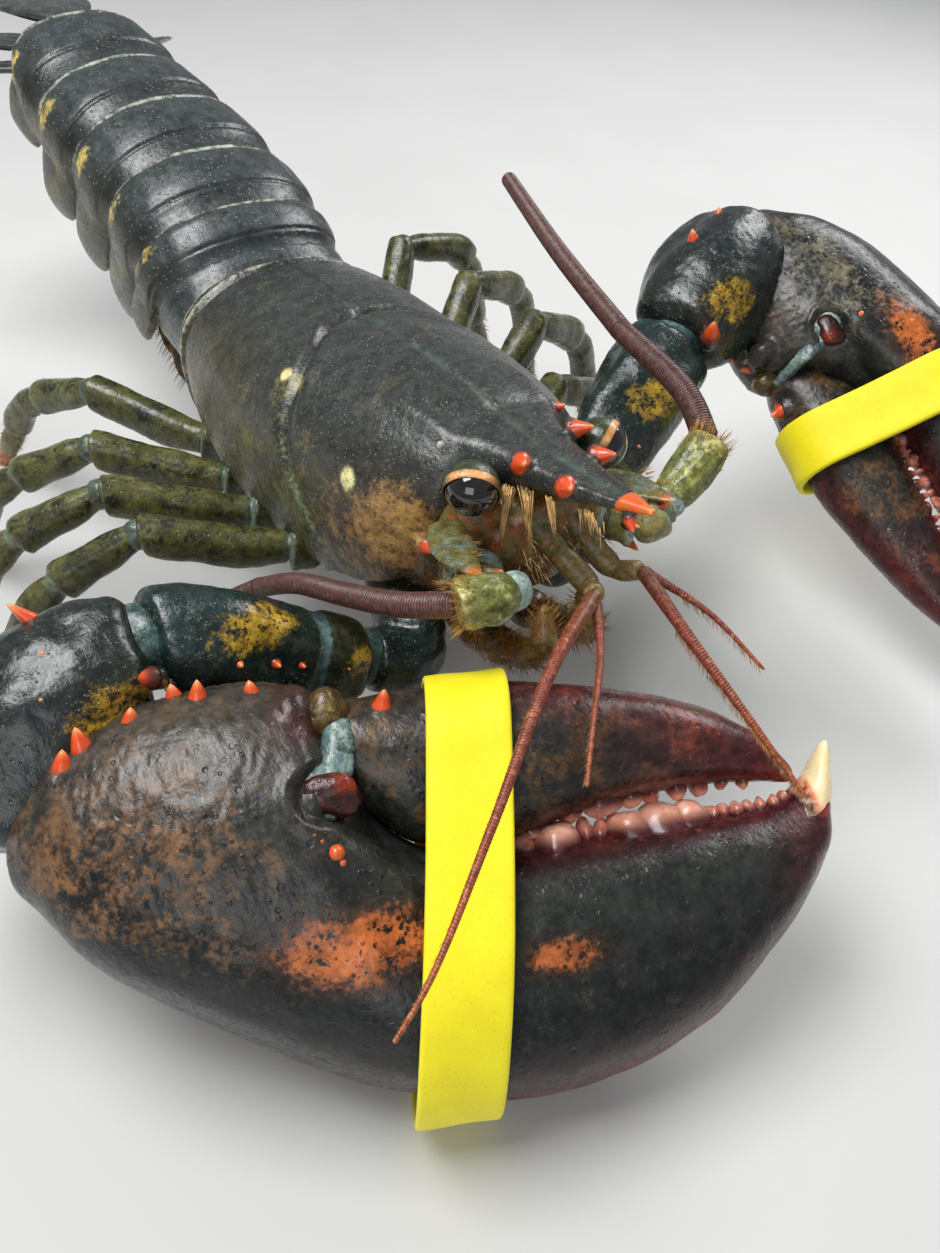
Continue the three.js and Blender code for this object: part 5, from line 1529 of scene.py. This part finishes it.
# Painted marks of the palms: centre, radii and soft edge in the claw's frame, with colour or strength
CLAW_MARKS = {
    "crusher": {
        "heel": ((22, -4, 4), (20, 15, 9), "#765436", 0.46),
        "patches": [((60, -21, 5), (14.5, 6.5, 9), 0.55, 1), ((94, -27.5, 5), (8, 3.2, 9), 0.6, 0.8),
                    ((60, -24, -6), (40, 18, 5), 0.6, 0.9)],
    },
    "cutter": {
        "heel": ((30, -12, 4), (22, 12, 9), "#6a6450", 0.35),
        "patches": [((58, -20, 4), (15, 5.5, 9), 0.55, 1), ((55, -16, -5), (36, 14, 5), 0.6, 0.9)],
    },
}
CLAW_TIP = [[144.6, -25, -6.0, 8.4], [148, -20.4, -3.2, 6.6], [150.6, -13.4, 0.6, 4.6],
            [152.4, -8.2, 2.6, 2.6], [153.6, -2, 3, 0.9]]


def palm_body(place, part):
    """Palm and fixed finger in one skin, thinned to a keel below, and its loose spines"""
    size = part["size"]
    solid = [blade(place, part["palm"], 0, part["length"], 120, 72)]
    solid.append(lump(place.point(*part["lobe"]), place.axes, (4.8 * size, 6.2 * size, 7.4 * size), 28))
    spines = []
    for k, (s, a, n) in enumerate(part["spines"]):
        way = unit(*(place.across + place.axis * 0.2 * math.sin(3 * k + 1) + place.out * 0.5))
        spines.append(thorn(place.point(s, a - 1.4, n), way, 5.4 + 0.8 * math.sin(2 * k), 2.0 * size + 0.2))
        solid.append(lump(place.point(s, a - 1.8, n), place.axes, (3.1, 2.6, 3.1), 18))
    skin = relax(union(solid, FINE_VOXEL), 8)
    s, a, n = place.local(skin[0])
    keel = bell((a - at(part["palm"], s)[0]) / 4.5, 1.0)
    points = skin[0] - place.out * (n * 0.34 * keel * soft(6, 30, s))[:, None]
    return (points, skin[1], skin[2]), (s, a, n), spines


def palm_relief(points, s, a, n, part):
    """Crease from the hinge to the band, hollow round the hinge, swells and folds of the heel"""
    size = part["size"]
    thick = at(part["palm"], s)[2]
    knob_s, knob_a, _ = part["knob"]
    end_s, end_a = part["band"], at(part["palm"], part["band"])[1][0]
    share = np.clip((s - knob_s) / (end_s - knob_s), 0, 1)
    crease_a = knob_a - 1 + (end_a - knob_a + 1) * share ** 0.7
    front = soft(0.25, 0.6, n / np.maximum(thick, 1))
    crease = bell(a - crease_a, 2.2) * soft(knob_s - 3, knob_s + 4, s) * soft(end_s + 14, end_s, s) * front
    cut = -1.5 * crease
    cut += 0.8 * bell(a - crease_a + 6, 4) * soft(knob_s - 6, knob_s + 6, s) * front
    ring = np.sqrt(((s - knob_s) / 5.2 / size) ** 2 + ((a - knob_a) / 4.6 / size) ** 2)
    cut -= 1.6 * bell(ring - 0.75, 0.32) * front
    cut += 0.7 * bell(ring - 1.3, 0.25) * front * soft(2, -4, s - knob_s)
    cut += 0.9 * (layers(points, 16, 41, 2) - 0.5) * soft(4, 16, s)
    cut += 0.35 * (layers(points, 5, 47, 2) - 0.5)
    cut += 0.05 * (noise(points, 1.1, 48) - 0.5)
    folds = noise(np.stack([s * 1.0, a * 0.36, n * 0.4], 1), 0.8, 53)
    cut += 0.3 * (folds - 0.5) * soft(3, 12, s) * soft(56, 40, s) * soft(-20, -4, a)
    return cut


def claw(word):
    part = CLAWS[word]
    place = ClawFrame(part["heel"], part["axis"], part["toward"])
    size, crusher = part["size"], word == "right"
    skin, (s, a, n), spines = palm_body(place, part)
    skin = flat_floor(push(skin, palm_relief(skin[0], s, a, n, part)))
    paint, pock = palm_paint(s, a, n, part, crusher)
    made = Skin().add(skin, paint.base, paint.mark, paint.share, pock)
    made.build(f"claw_hand_{word}", CLAW, "claw_shell", f"claw_palm_{word}")
    tips = Skin()
    for spine in spines:
        red_spine(tips, spine, 0.1, 0.7)
    tooth_row(tips, place, part["palm"], part["teeth"], 1, 1, 60)
    for ds, da, radius in TUBERCLES:
        ts = part["knob"][0] + 0.8 * size + ds * size
        ta = part["knob"][1] - 9.8 * size + da * size
        top = place.point(ts, ta, on_face(part["palm"], ts, ta) - 0.3)
        bead = lump(top, place.axes, (radius * size, radius * size, radius * size * 1.1), 16)
        tips.add(bead, mix(RED_BROWN, RED_TIP, 0.4 + 0.6 * (radius > 1)), ORANGE)
    if crusher:
        tip = blade(place, CLAW_TIP, CLAW_TIP[0][0], 153.4, 24, 32)
        ts, ta, _ = place.local(tip[0])
        glow = soft(-22, -4, ta) * soft(145.5, 148.5, ts)
        tone = mix(rgb("#5a1a1c"), rgb("#d8602c"), soft(0.1, 0.55, glow))
        tone = mix(tone, rgb("#f2dca6"), soft(0.5, 0.95, glow))
        tips.add(tip, tone, mix(tone, rgb("#f6e6c0"), 0.4))
    tips.build(f"claw_hand_spines_{word}", HORN, "claw_shell")
    finger(word, part, place, size)
    joint(word, part, place, size)


def palm_paint(s, a, n, part, crusher):
    """Black slate palm with mottled heel, orange patches, and maroon along its lower edge and teeth"""
    low, high, thick = at(part["palm"], s)
    length = part["length"]
    rise = (a - low) / np.maximum(high - low, 1)
    base = mix(BLACK_SHELL * 0.66, SLATE * 0.6, soft(0.25, 0.8, rise))
    heel = soft(length * 0.5, length * 0.2, s) * soft(0.1, 0.35, rise)
    paint = Paint(base, rgb("#4f4232"), 0.18 + 0.3 * heel)
    paint.wash(rgb("#3c3833"), soft(0.4, 0.9, rise) * soft(length * 0.45, length * 0.25, s))
    paint.wash(rgb("#6b4a34") * 0.9, soft(0.2, -0.3, n / np.maximum(thick, 1)) * 0.6)
    local = np.stack([s, a, n * 0.3], 1)
    marks = CLAW_MARKS["crusher" if crusher else "cutter"]
    centre, radii, colour, most = marks["heel"]
    paint.stain(rgb(colour), blob(local, centre, radii, 0.7), most)
    patch = np.max([blob(local, *spot) * strength for *spot, strength in marks["patches"]], axis=0)
    paint.stain(rgb("#b4602a"), patch, 0.68)
    paint.wash(rgb("#5a3416"), patch * 0.5)
    if crusher:
        lobe = blob(np.stack([s, a, n], 1), (51.6, 17.5, 9), (4.6, 7.5, 8), 0.5)
        paint.wash(rgb("#4a2c26"), lobe)
        paint.share = paint.share * (1 - 0.6 * lobe)
    hem = bell((a - low) / 7.0, 1.0) * soft(length * 0.25, length * 0.6, s)
    hem = np.maximum(hem, soft(length * 0.86, length * 0.99, s))
    paint.wash(MAROON * 0.9, hem * 0.9)
    paint.share = paint.share * (1 - 0.4 * hem)
    paint.stain(rgb("#86302a"), hem, 0.38)
    gum = bell(a - high, 3.6) * soft(part["band"] + 4, part["band"] + 12, s) * soft(-1.0, 0.2, n)
    paint.wash(rgb("#46141a"), gum * 0.9)
    paint.stain(rgb("#a04a3c"), gum, 0.35)
    return paint, patch * 0.9 + 0.2


def finger(word, part, place, size):
    fs, fa = part["finger_spine"]
    out = unit(*(place.across + place.out * 0.55 + place.axis * 0.25))
    spine = thorn(place.point(fs, fa - 0.6, 7.6 * size), out, 4.6, 1.9)
    root = lump(place.point(fs, fa - 1.6, 7.2 * size), place.axes, (3.2, 2.6, 3.2), 18)
    blade_skin = blade(place, part["finger"], part["hinge"], part["end"], 90, 56)
    skin = relax(union([blade_skin, root], FINE_VOXEL), 7)
    s, a, _ = place.local(skin[0])
    low, high, _ = at(part["finger"], s)
    cut = 0.5 * (layers(skin[0], 9, 71, 2) - 0.5) + 0.3 * (layers(skin[0], 4, 72, 2) - 0.5)
    skin = push(skin, cut + 0.05 * (noise(skin[0], 1.1, 73) - 0.5))
    length = part["end"]
    rise = np.clip((a - low) / np.maximum(high - low, 1), 0, 1)
    top = 0.75 * soft(0.62, 1.0, rise) * soft(length * 0.5, length * 0.62, s)
    redder = np.clip(soft(length * 0.62, length * 1.0, s) + top, 0, 1)
    gum = bell(a - low, 2.0) * soft(part["band"] + 8, part["band"] + 18, s)
    base = mix(SLATE * 0.55, rgb("#37322d"), soft(0.3, 0.8, rise) * 0.7)
    base = mix(base, rgb("#4a1d1e"), redder)
    base = mix(base, rgb("#6a2420"), gum * 0.7)
    base = mix(base, rgb("#7d2a1c"), soft(length - 12, length, s) * 0.7)
    mark = mix(rgb("#5a4226"), rgb("#6e2a22"), redder)
    made = Skin().add(skin, base, mark, 0.42 - 0.12 * redder, 0.3 * (1 - redder))
    made.build(f"claw_thumb_{word}", CLAW, "claw_shell", f"claw_finger_{word}")
    tips = Skin()
    red_spine(tips, spine, 0.0, 0.7)
    tooth_row(tips, place, part["finger"], part["finger_teeth"], 0, -1, 90)
    tips.build(f"claw_thumb_spines_{word}", HORN, "claw_shell")


def joint(word, part, place, size):
    """Hinge of the finger: pale skin, a red-brown knob in its socket, and a shiny ball above"""
    def grown(*radii):
        return tuple(radius * size for radius in radii)

    knob_s, knob_a, knob_n = part["knob"]
    ball_s, ball_a, ball_n = part["ball"]
    made = Skin()
    strap = [place.point(knob_s + 1, knob_a + 3, knob_n - 3), place.point(*part["open"]),
             place.point(ball_s + 2.4, ball_a - 1.5, ball_n + 1.5)]
    strap_size = [[0, *grown(4.0, 1.8)], [0.5, *grown(3.2, 1.9)], [1, *grown(3.2, 2)]]
    pad = place.point(knob_s - 1.9, knob_a - 0.3, knob_n - 2.0 * size)
    pale = union([lump(pad, place.axes, grown(5.9, 5.4, 2.5), 30), tube(strap, strap_size, 20, 24)[0]],
                 FINE_VOXEL)
    pale = relax(pale, 3)
    pale = push(pale, 0.9 * (layers(pale[0], 2.6, 81, 3) - 0.5))
    tone = mix(rgb("#47686c"), rgb("#9db0a4"), noise(pale[0], 2.4, 8))
    made.add(pale, tone, rgb("#33463c"), 0.45, 0.5)
    lumps = (
        (knob_s - 1.2, knob_a, knob_n - 0.9, grown(4.4, 3.9, 2.5), 40),
        (knob_s + 1.6 * size, knob_a + 0.9 * size, knob_n - 0.8, grown(3.9, 2.9, 2.4), 36),
        (knob_s + 2.4 * size, knob_a - 1.6 * size, knob_n - 1.8, grown(3.9, 3.3, 2.1), 36),
    )
    parts = [lump(place.point(s, a, n), place.axes, radii, sides) for s, a, n, radii, sides in lumps]
    knob = relax(union(parts, FINE_VOXEL), 14)
    ks, ka, _ = place.local(knob[0])
    glow = soft(0.2 * size, 3.6 * size, ks - knob_s) * soft(-1.0, 1.4, ka - knob_a)
    made.add(knob, mix(rgb("#32110f"), rgb("#9c3418"), glow), rgb("#4c1c18"), 0.4, 0.2)
    ball = lump(place.point(ball_s, ball_a, ball_n), place.axes, grown(4.9, 5.4, 4.8), 36, 0.3, 6)
    made.add(ball, rgb("#4c3a1c"), rgb("#7a6634"), 0.4)
    made.build(f"claw_joint_{word}", ARM, "claw_shell")


# Rubber band round both fingers: a strip that follows their outline
def hull(points):
    """Tightest convex outline round flat points"""
    points = points[np.lexsort((points[:, 1], points[:, 0]))]

    def half(order):
        kept = []
        for p in order:
            while len(kept) > 1 and np.cross(kept[-1] - kept[-2], p - kept[-2]) <= 1e-6:
                kept.pop()
            kept.append(p)
        return kept[:-1]

    return np.array(half(points) + half(points[::-1]))


BAND_STEPS = 260
BAND_EDGE = [(0.0, 0.25), (0.0, 0.9), (0.12, 1.35), (0.4, 1.62)]


def band_outline(part, start, crown):
    """Even outline round both fingers in the claw's frame, and the way out at each of its points"""
    end = start + BAND_WIDTH
    found = []
    a, b, _ = oval(72, 2.2)
    for rows in (part["palm"], part["finger"]):
        for s in (start - 1, (start + end) / 2, end + 1):
            first, second = (v[0] for v in at(rows, s)[:2])
            low, high, thick = (v[0] for v in at(rows, s + part["lean"] * ((first + second) / 2 - crown)))
            reach = GAP + 0.25
            found.append(np.stack([(low + high) / 2 + a * ((high - low) / 2 + reach),
                                   b * (thick + reach)], 1))
    outline = hull(np.vstack(found))
    closed = np.vstack([outline, outline[:1]])
    reach = np.concatenate([[0], np.cumsum(np.linalg.norm(np.diff(closed, axis=0), axis=1))])
    even = np.linspace(0, reach[-1], BAND_STEPS, endpoint=False)
    x, y = np.interp(even, reach, closed[:, 0]), np.interp(even, reach, closed[:, 1])
    for _ in range(6):
        x = (x + 0.5 * (np.roll(x, 1) + np.roll(x, -1))) / 2
        y = (y + 0.5 * (np.roll(y, 1) + np.roll(y, -1))) / 2
    along = np.stack([np.roll(x, -1) - np.roll(x, 1), np.roll(y, -1) - np.roll(y, 1)], 1)
    out = each_unit(np.stack([along[:, 1], -along[:, 0]], 1))
    if np.sum(out * np.stack([x - x.mean(), y - y.mean()], 1)) < 0:
        out = -out
    return x, y, out


def band(word):
    part = CLAWS[word]
    place = ClawFrame(part["heel"], part["axis"], part["toward"])
    start = part["band"]
    crown = at(part["finger"], start)[1][0]
    x, y, out = band_outline(part, start, crown)
    across = np.linspace(0.8, BAND_WIDTH - 0.8, 15)
    lift = [(v, 1.62 + 0.1 * math.sin(v * 0.5)) for v in across]
    closing = [(BAND_WIDTH - u, v) for u, v in BAND_EDGE[::-1]]
    loop = BAND_EDGE + lift + closing + [(v, 0.0) for v in across[::-1]]
    wave = 0.25 * np.sin(np.arange(BAND_STEPS) / BAND_STEPS * 2 * np.pi * 3 + 1)
    lean = part["lean"] * (x - crown)
    rings = np.stack([place.point(start + u + wave * 0.6 + lean, x + out[:, 0] * v, y + out[:, 1] * v)
                      for u, v in loop], 1)
    rows, width = rings.shape[:2]
    first = np.arange(width)
    last = first + (rows - 1) * width
    seam = np.stack([last, np.roll(last, -1), np.roll(first, -1), first], 1)
    points = rings.reshape(-1, 3)
    quads = np.vstack([sheet_quads(rows, width), seam])
    p = points[quads[:, 0]]
    face = np.cross(points[quads[:, 1]] - p, points[quads[:, 2]] - p)
    if np.sum(face * (p - points.mean(0))) < 0:
        quads = quads[:, ::-1]
    skin = flat_floor((points, quads, NO_TRIS))
    Skin().add(skin, rgb("#f0e020")).build(f"claw_strap_{word}", RUBBER, "band_rubber", f"claw_band_{word}")


# Arms of the claws: paths from the body to the wrist
ARMS = {
    "right": {
        "root": [body(-15, -84, 10), (-23, -102, 39), (-34, -101, 43)],
        "merus": [(-34, -101, 43), (-56, -94, 51), (-76, -89.5, 59)],
        "carpus": [(-76, -89.5, 59), (-97, -91, 51), (-118, -101, 38)],
        "spines": [((-80, -100.5, 61), (-0.85, -0.05, 0.5), 6.5, 1.6),
                   ((-92, -82, 64), (-0.6, 0.5, 0.7), 9, 1.9),
                   ((-104, -86, 58), (-0.6, 0.4, 0.7), 5, 1.7), ((-112, -96, 53), (-0.7, 0, 0.6), 4.5, 1.7),
                   ((-98, -99, 63), (-0.1, -0.5, 0.9), 3.4, 1.5),
                   ((-94.5, -92, 66.2), (-0.2, 0, 1), 3, 1.4),
                   ((-104, -100, 60), (-0.4, -0.4, 0.8), 3.2, 1.5)],
        "gold": [((-58, -98.5, 61.5), (13, 6, 5)), ((-86, -104.5, 58), (11, 6, 8)),
                 ((-38, -107, 49), (5, 5, 3))],
    },
    "left": {
        "root": [body(15, -84, 10), (24, -91, 41), (36, -84, 45)],
        "merus": [(36, -84, 45), (58, -72, 57), (80, -63, 68)],
        "carpus": [(80, -63, 68), (101, -54, 76), (119, -45, 80)],
        "spines": [((83, -73, 76), (-0.25, -0.2, 0.95), 5.5, 2.0),
                   ((93, -51, 89), (-0.1, 0.3, 0.9), 4.5, 1.8),
                   ((105, -47, 91), (0.1, 0.3, 0.9), 4.5, 1.8)],
        "gold": [((60, -78, 66), (9, 5, 6)), ((92, -68, 80), (9, 6, 7))],
    },
}
MERUS_SIZE = [[0, 8, 7.5], [0.3, 10, 9.5], [0.75, 12.5, 12], [1, 11, 10]]
CARPUS_SIZE = [[0, 10.4, 9.6], [0.2, 14.5, 13.5], [0.55, 17, 16], [0.85, 15, 15], [1, 9, 10]]
ROOT_SIZE = [[0, 7.5, 7], [0.5, 8, 7.5], [1, 7.8, 7.3]]
# Small spines along the front edge of the merus: [share of its length, distance out, length]
FRONT_EDGE = unit(0.05, -0.93, 0.36)
MERUS_BEADS = [(0.18, 8.6, 2.2), (0.4, 10.2, 2.0), (0.52, 10.8, 2.4), (0.7, 11.6, 3.0), (0.8, 11.8, 2.0)]


def bisector(a, b):
    """Plane halfway between the end of one path and the start of the next"""
    before = unit(*(np.array(a[-1]) - a[-2]))
    return unit(*(unit(*(np.array(b[1]) - b[0])) + before))


# Ridges along each length of the arm: how high and how many
ARM_GREEN = {"root": 0.5, "merus": 0.85, "carpus": 0.3}
INNER_BALL = {"merus": 6.0, "carpus": 7.8}
ARM_KEELS = {"root": (0.03, 3), "merus": (0.07, 3), "carpus": (0.05, 4)}


def keeled(shape, keel):
    height, count = keel

    def ridged(t, angle, length):
        ridges = 1 + height * np.cos(count * angle + 0.9) + height * 0.5 * np.cos(5 * angle + 6 * t)
        return shape(t, angle, length) * ridges
    return ridged


def arm_skin(part, key, size, start, end, joints, rounds):
    """Length of an arm with a root for each spine, its spines, and the share of its length at each point"""
    square = 2.0 if key == "root" else 2.3
    shape = keeled(barrels(joints, 0.07, 0.025), ARM_KEELS[key])
    solid = [tube(part[key], size, 90, 64, square, start, end, rounds, shape)[0]]
    route = Route(part[key])
    mine = part["spines"] if key == "carpus" else []
    if key == "merus":
        mine = [(route.point(share) + FRONT_EDGE * reach, FRONT_EDGE, length, length * 0.42)
                for share, reach, length in MERUS_BEADS]
    spines = []
    for spot, way, length, radius in mine:
        way = unit(*way)
        spines.append(thorn(np.array(spot) - way * 1.2, way, length, radius))
        solid.append(lump(np.array(spot) - way * 2.5, np.eye(3), (radius * 1.5,) * 3, 18))
    skin = relax(union(solid, VOXEL), 6)
    near = np.argmin(np.linalg.norm(skin[0][:, None] - route.line[None, ::4], axis=2), axis=1) * 4
    cut = 2.6 * (layers(skin[0], 13, 101, 2) - 0.5) + 0.7 * (layers(skin[0], 4.5, 103, 2) - 0.5)
    cut += 0.12 * (noise(skin[0], 1.4, 107) - 0.5)
    return push(skin, cut), spines, route.reach[near] / route.length


def arm_paint(points, along, key, gold):
    """Dark green shell with an olive root, golden patches, and a pale ring at the joint of the merus"""
    base = mix(BLACK_SHELL * 0.8, TEAL * 0.62, ARM_GREEN[key])
    base = mix(base, OLIVE * 0.7, soft(0.5, 0.0, along) * (0.7 if key != "carpus" else 0.1))
    paint = Paint(base, rgb("#4a4a30") * 0.7, 0.25)
    golden = np.zeros(len(points))
    for centre, radii in gold:
        patch = blob(points, centre, radii, 0.5)
        paint.stain(rgb("#b08c24"), patch, 0.64)
        golden = np.maximum(golden, patch)
    waver = 0.02 * (layers(points, 6, 109, 2) - 0.5)
    ends = bell(along + waver - 0.27, 0.008) if key == "merus" else 0 * along
    paint.wash(MEMBRANE * 0.4, 0.75 * ends)
    paint.share = paint.share * (1 - ends)
    return paint, 0.15 + 0.8 * golden


def arm(word):
    part = ARMS[word]
    first = bisector(part["root"], part["merus"])
    second = bisector(part["merus"], part["carpus"])
    tips = Skin()
    for key, *shaping in (
            ("root", ROOT_SIZE, None, first, (0.55,), (0, 1.5)),
            ("merus", MERUS_SIZE, first, second, (0.27,), (2.5, 3.0)),
            ("carpus", CARPUS_SIZE, second, None, (), (4.5, 5.0))):
        skin, spines, along = arm_skin(part, key, *shaping)
        paint, pock = arm_paint(skin[0], along, key, part["gold"])
        made = Skin().add(skin, paint.base, paint.mark, paint.share, pock)
        if key in INNER_BALL:
            inner = lump(part[key][0], np.eye(3), (INNER_BALL[key],) * 3, 36, 0.12, 2)
            tone = mix(rgb("#263c3b"), rgb("#557672"), noise(inner[0], 2.2, 3))
            made.add(inner, tone, rgb("#22322e"), 0.4, 0.4)
        made.build(f"arm_{key}_{word}", ARM, "claw_shell", f"claw_{key}_{word}")
        for spine in spines:
            red_spine(tips, spine, 0.1, 0.6)
    tips.build(f"arm_spines_{word}", HORN, "claw_shell")


# Walking legs, front to back: hip in the body frame, then knee, wrist and foot
LEGS = {
    "right": [
        ((-18, -68, 6), (-62, -48, 50), (-84, -40, 34), (-100, -34, 0)),
        ((-19, -50, 6), (-64, -30, 50), (-88, -20, 34), (-104, -12, 0)),
        ((-19, -33, 6), (-58, -6, 46), (-80, 10, 30), (-92, 22, 0)),
        ((-18, -17, 7), (-48, 22, 44), (-60, 46, 30), (-68, 66, 0)),
    ],
    "left": [
        ((18, -68, 6), (58, -45, 52), (82, -38, 36), (98, -33, 0)),
        ((19, -50, 6), (62, -28, 62), (88, -18, 44), (106, -12, 0)),
        ((19, -33, 6), (56, -4, 64), (84, 8, 48), (102, 18, 0)),
        ((18, -17, 7), (48, 20, 66), (74, 26, 56), (98, 40, 0)),
    ],
}
UPPER_SIZE = [[0, 4.8, 5.2], [0.3, 4.6, 5.4], [0.6, 4.3, 5.2], [1, 3.8, 4.3]]
LOWER_SIZE = [[0, 3.8, 4.3], [0.35, 3.7, 4.3], [0.7, 3.1, 3.4], [1, 1.2, 1.5]]
PINCER_PAIRS = 2


def leg_skin(made, path, size, steps, joints, start=None, end=None, rounds=(1.2, 1.2), tip=False, sides=26):
    shape, t, _ = tube(path, size, steps, sides, 2.4, start, end, rounds, segments(joints, 0.74, 0.14))
    shape = push(shape, 0.7 * (layers(shape[0], 6, 131, 2) - 0.5)
                 + 0.2 * (layers(shape[0], 2.2, 133, 2) - 0.5))
    neck = np.max([bell(t - joint, 0.018) for joint in joints], axis=0)
    base = mix(rgb("#4a4a26"), rgb("#6b6a38"), noise(shape[0], 9, 7))
    share = np.full(len(base), 0.46)
    if tip:
        horny = soft(0.78, 0.95, t)
        base = mix(base, rgb("#b4602a"), horny)
        share = share * (1 - 0.8 * horny)
    base = mix(base, rgb("#64786e"), neck * 0.8)
    made.add(flat_floor(shape), base, rgb("#1a1e14"), share * (1 - neck), 0.25)
    return Route(path)


def legs(setae):
    for word in ("right", "left"):
        for index, (hip, knee, wrist, foot) in enumerate(LEGS[word]):
            start = body(*hip)
            knee, wrist, toe = (np.array(p, float) for p in (knee, wrist, foot))
            rise = start * 0.5 + knee * 0.5 - (0, 0, 2)
            bend = bisector([rise, knee], [knee, wrist])
            upper = Skin()
            leg_skin(upper, [start, start * 0.4 + rise * 0.6, rise, knee], UPPER_SIZE, 90, (0.13, 0.3),
                     end=bend,
                     rounds=(1.2, 1.4))
            knuckle = lump(knee, np.eye(3), (3.5, 3.5, 3.7), 24, 0.15, index)
            upper.add(knuckle, rgb("#4c5c52"), rgb("#3a3a22"), 0.45, 0.2)
            upper.build(f"leg_thigh_{index + 1}_{word}", LEG, "leg_shell", f"leg_{index + 1}_upper_{word}")
            toe[2] -= 1.5
            middle = wrist * 0.45 + toe * 0.55 + (0, 0, 1)
            lower = Skin()
            route = leg_skin(lower, [knee, wrist, middle, toe], LOWER_SIZE, 110, (0.33, 0.66), start=bend,
                             rounds=(1.6, 1.0), tip=True)
            if index < PINCER_PAIRS:
                base = wrist * 0.55 + toe * 0.45
                spread = np.array((math.copysign(1.5, hip[0]), -4.2, 1.5))
                end = toe + spread * 0.8 + (0, 0, 5)
                path = [base, (base + end) / 2 + spread * 0.45, end]
                second = leg_skin(lower, path, [[0, 2.4, 2.6], [0.6, 1.9, 2], [1, 0.5, 0.5]], 40, (0.3,),
                                  rounds=(0, 0.8),
                                  tip=True, sides=20)
                for place in np.linspace(0.4, 0.95, 9):
                    collar(setae, second, place, 1.9 - 1.2 * place, 16, 1.0, 2.2, 1.1, AMBER * 0.8, 0.07)
            lower.build(f"leg_shin_{index + 1}_{word}", LEG, "leg_shell", f"leg_{index + 1}_lower_{word}")
            for place in np.linspace(0.62, 0.96, 15):
                collar(setae, route, place, at(LOWER_SIZE, place)[0][0], 22, 1.0, 2.4, 1.1, AMBER * 0.8,
                       0.07)


# Floor, lights and world
def stage():
    count, reach = 41, 6.0
    x, y = np.meshgrid(np.linspace(-reach, reach, count), np.linspace(-reach, reach, count), indexing="ij")
    points = np.stack([x.ravel(), y.ravel(), np.zeros(count * count)], 1)
    mesh = bpy.data.meshes.new("floor")
    fill_mesh(mesh, points, sheet_quads(count, count, False)[:, ::-1], NO_TRIS)
    mesh.materials.append(FLOOR)
    floor = bpy.data.objects.new("floor", mesh)
    bpy.context.collection.objects.link(floor)


LIGHTS = [
    ("key", (-0.25, 0.1, 0.75), (0.5, 0.36), 6.2),
    ("fill", (-0.55, -0.6, 0.45), (0.5, 0.4), 1.4),
    ("side", (0.6, 0.1, 0.5), (0.4, 0.3), 2.8),
]


def lights():
    for name, place, (wide, high), power in LIGHTS:
        data = bpy.data.lights.new(name, "AREA")
        data.shape = "RECTANGLE"
        data.size, data.size_y = wide, high
        data.energy = power
        lamp = bpy.data.objects.new(name, data)
        lamp.location = place
        lamp.rotation_euler = (Vector((0, -0.02, 0.05)) - Vector(place)).to_track_quat("-Z", "Y").to_euler()
        bpy.context.collection.objects.link(lamp)
    world = bpy.data.worlds.new("studio")
    world.use_nodes = True
    world.node_tree.nodes["Background"].inputs["Color"].default_value = (0.92, 0.95, 1.0, 1)
    world.node_tree.nodes["Background"].inputs["Strength"].default_value = 0.3
    bpy.context.scene.world = world


# Whole animal
coat = Setae()
carapace()
head_and_belly()
abdomen(coat)
tail_fan(coat)
eyes()
antennae(coat)
antennules(coat)
mouth(coat)
for word in ("right", "left"):
    arm(word)
    claw(word)
    band(word)
legs(coat)
coat.build("bristles", SETA, "head_shell")
stage()
lights()
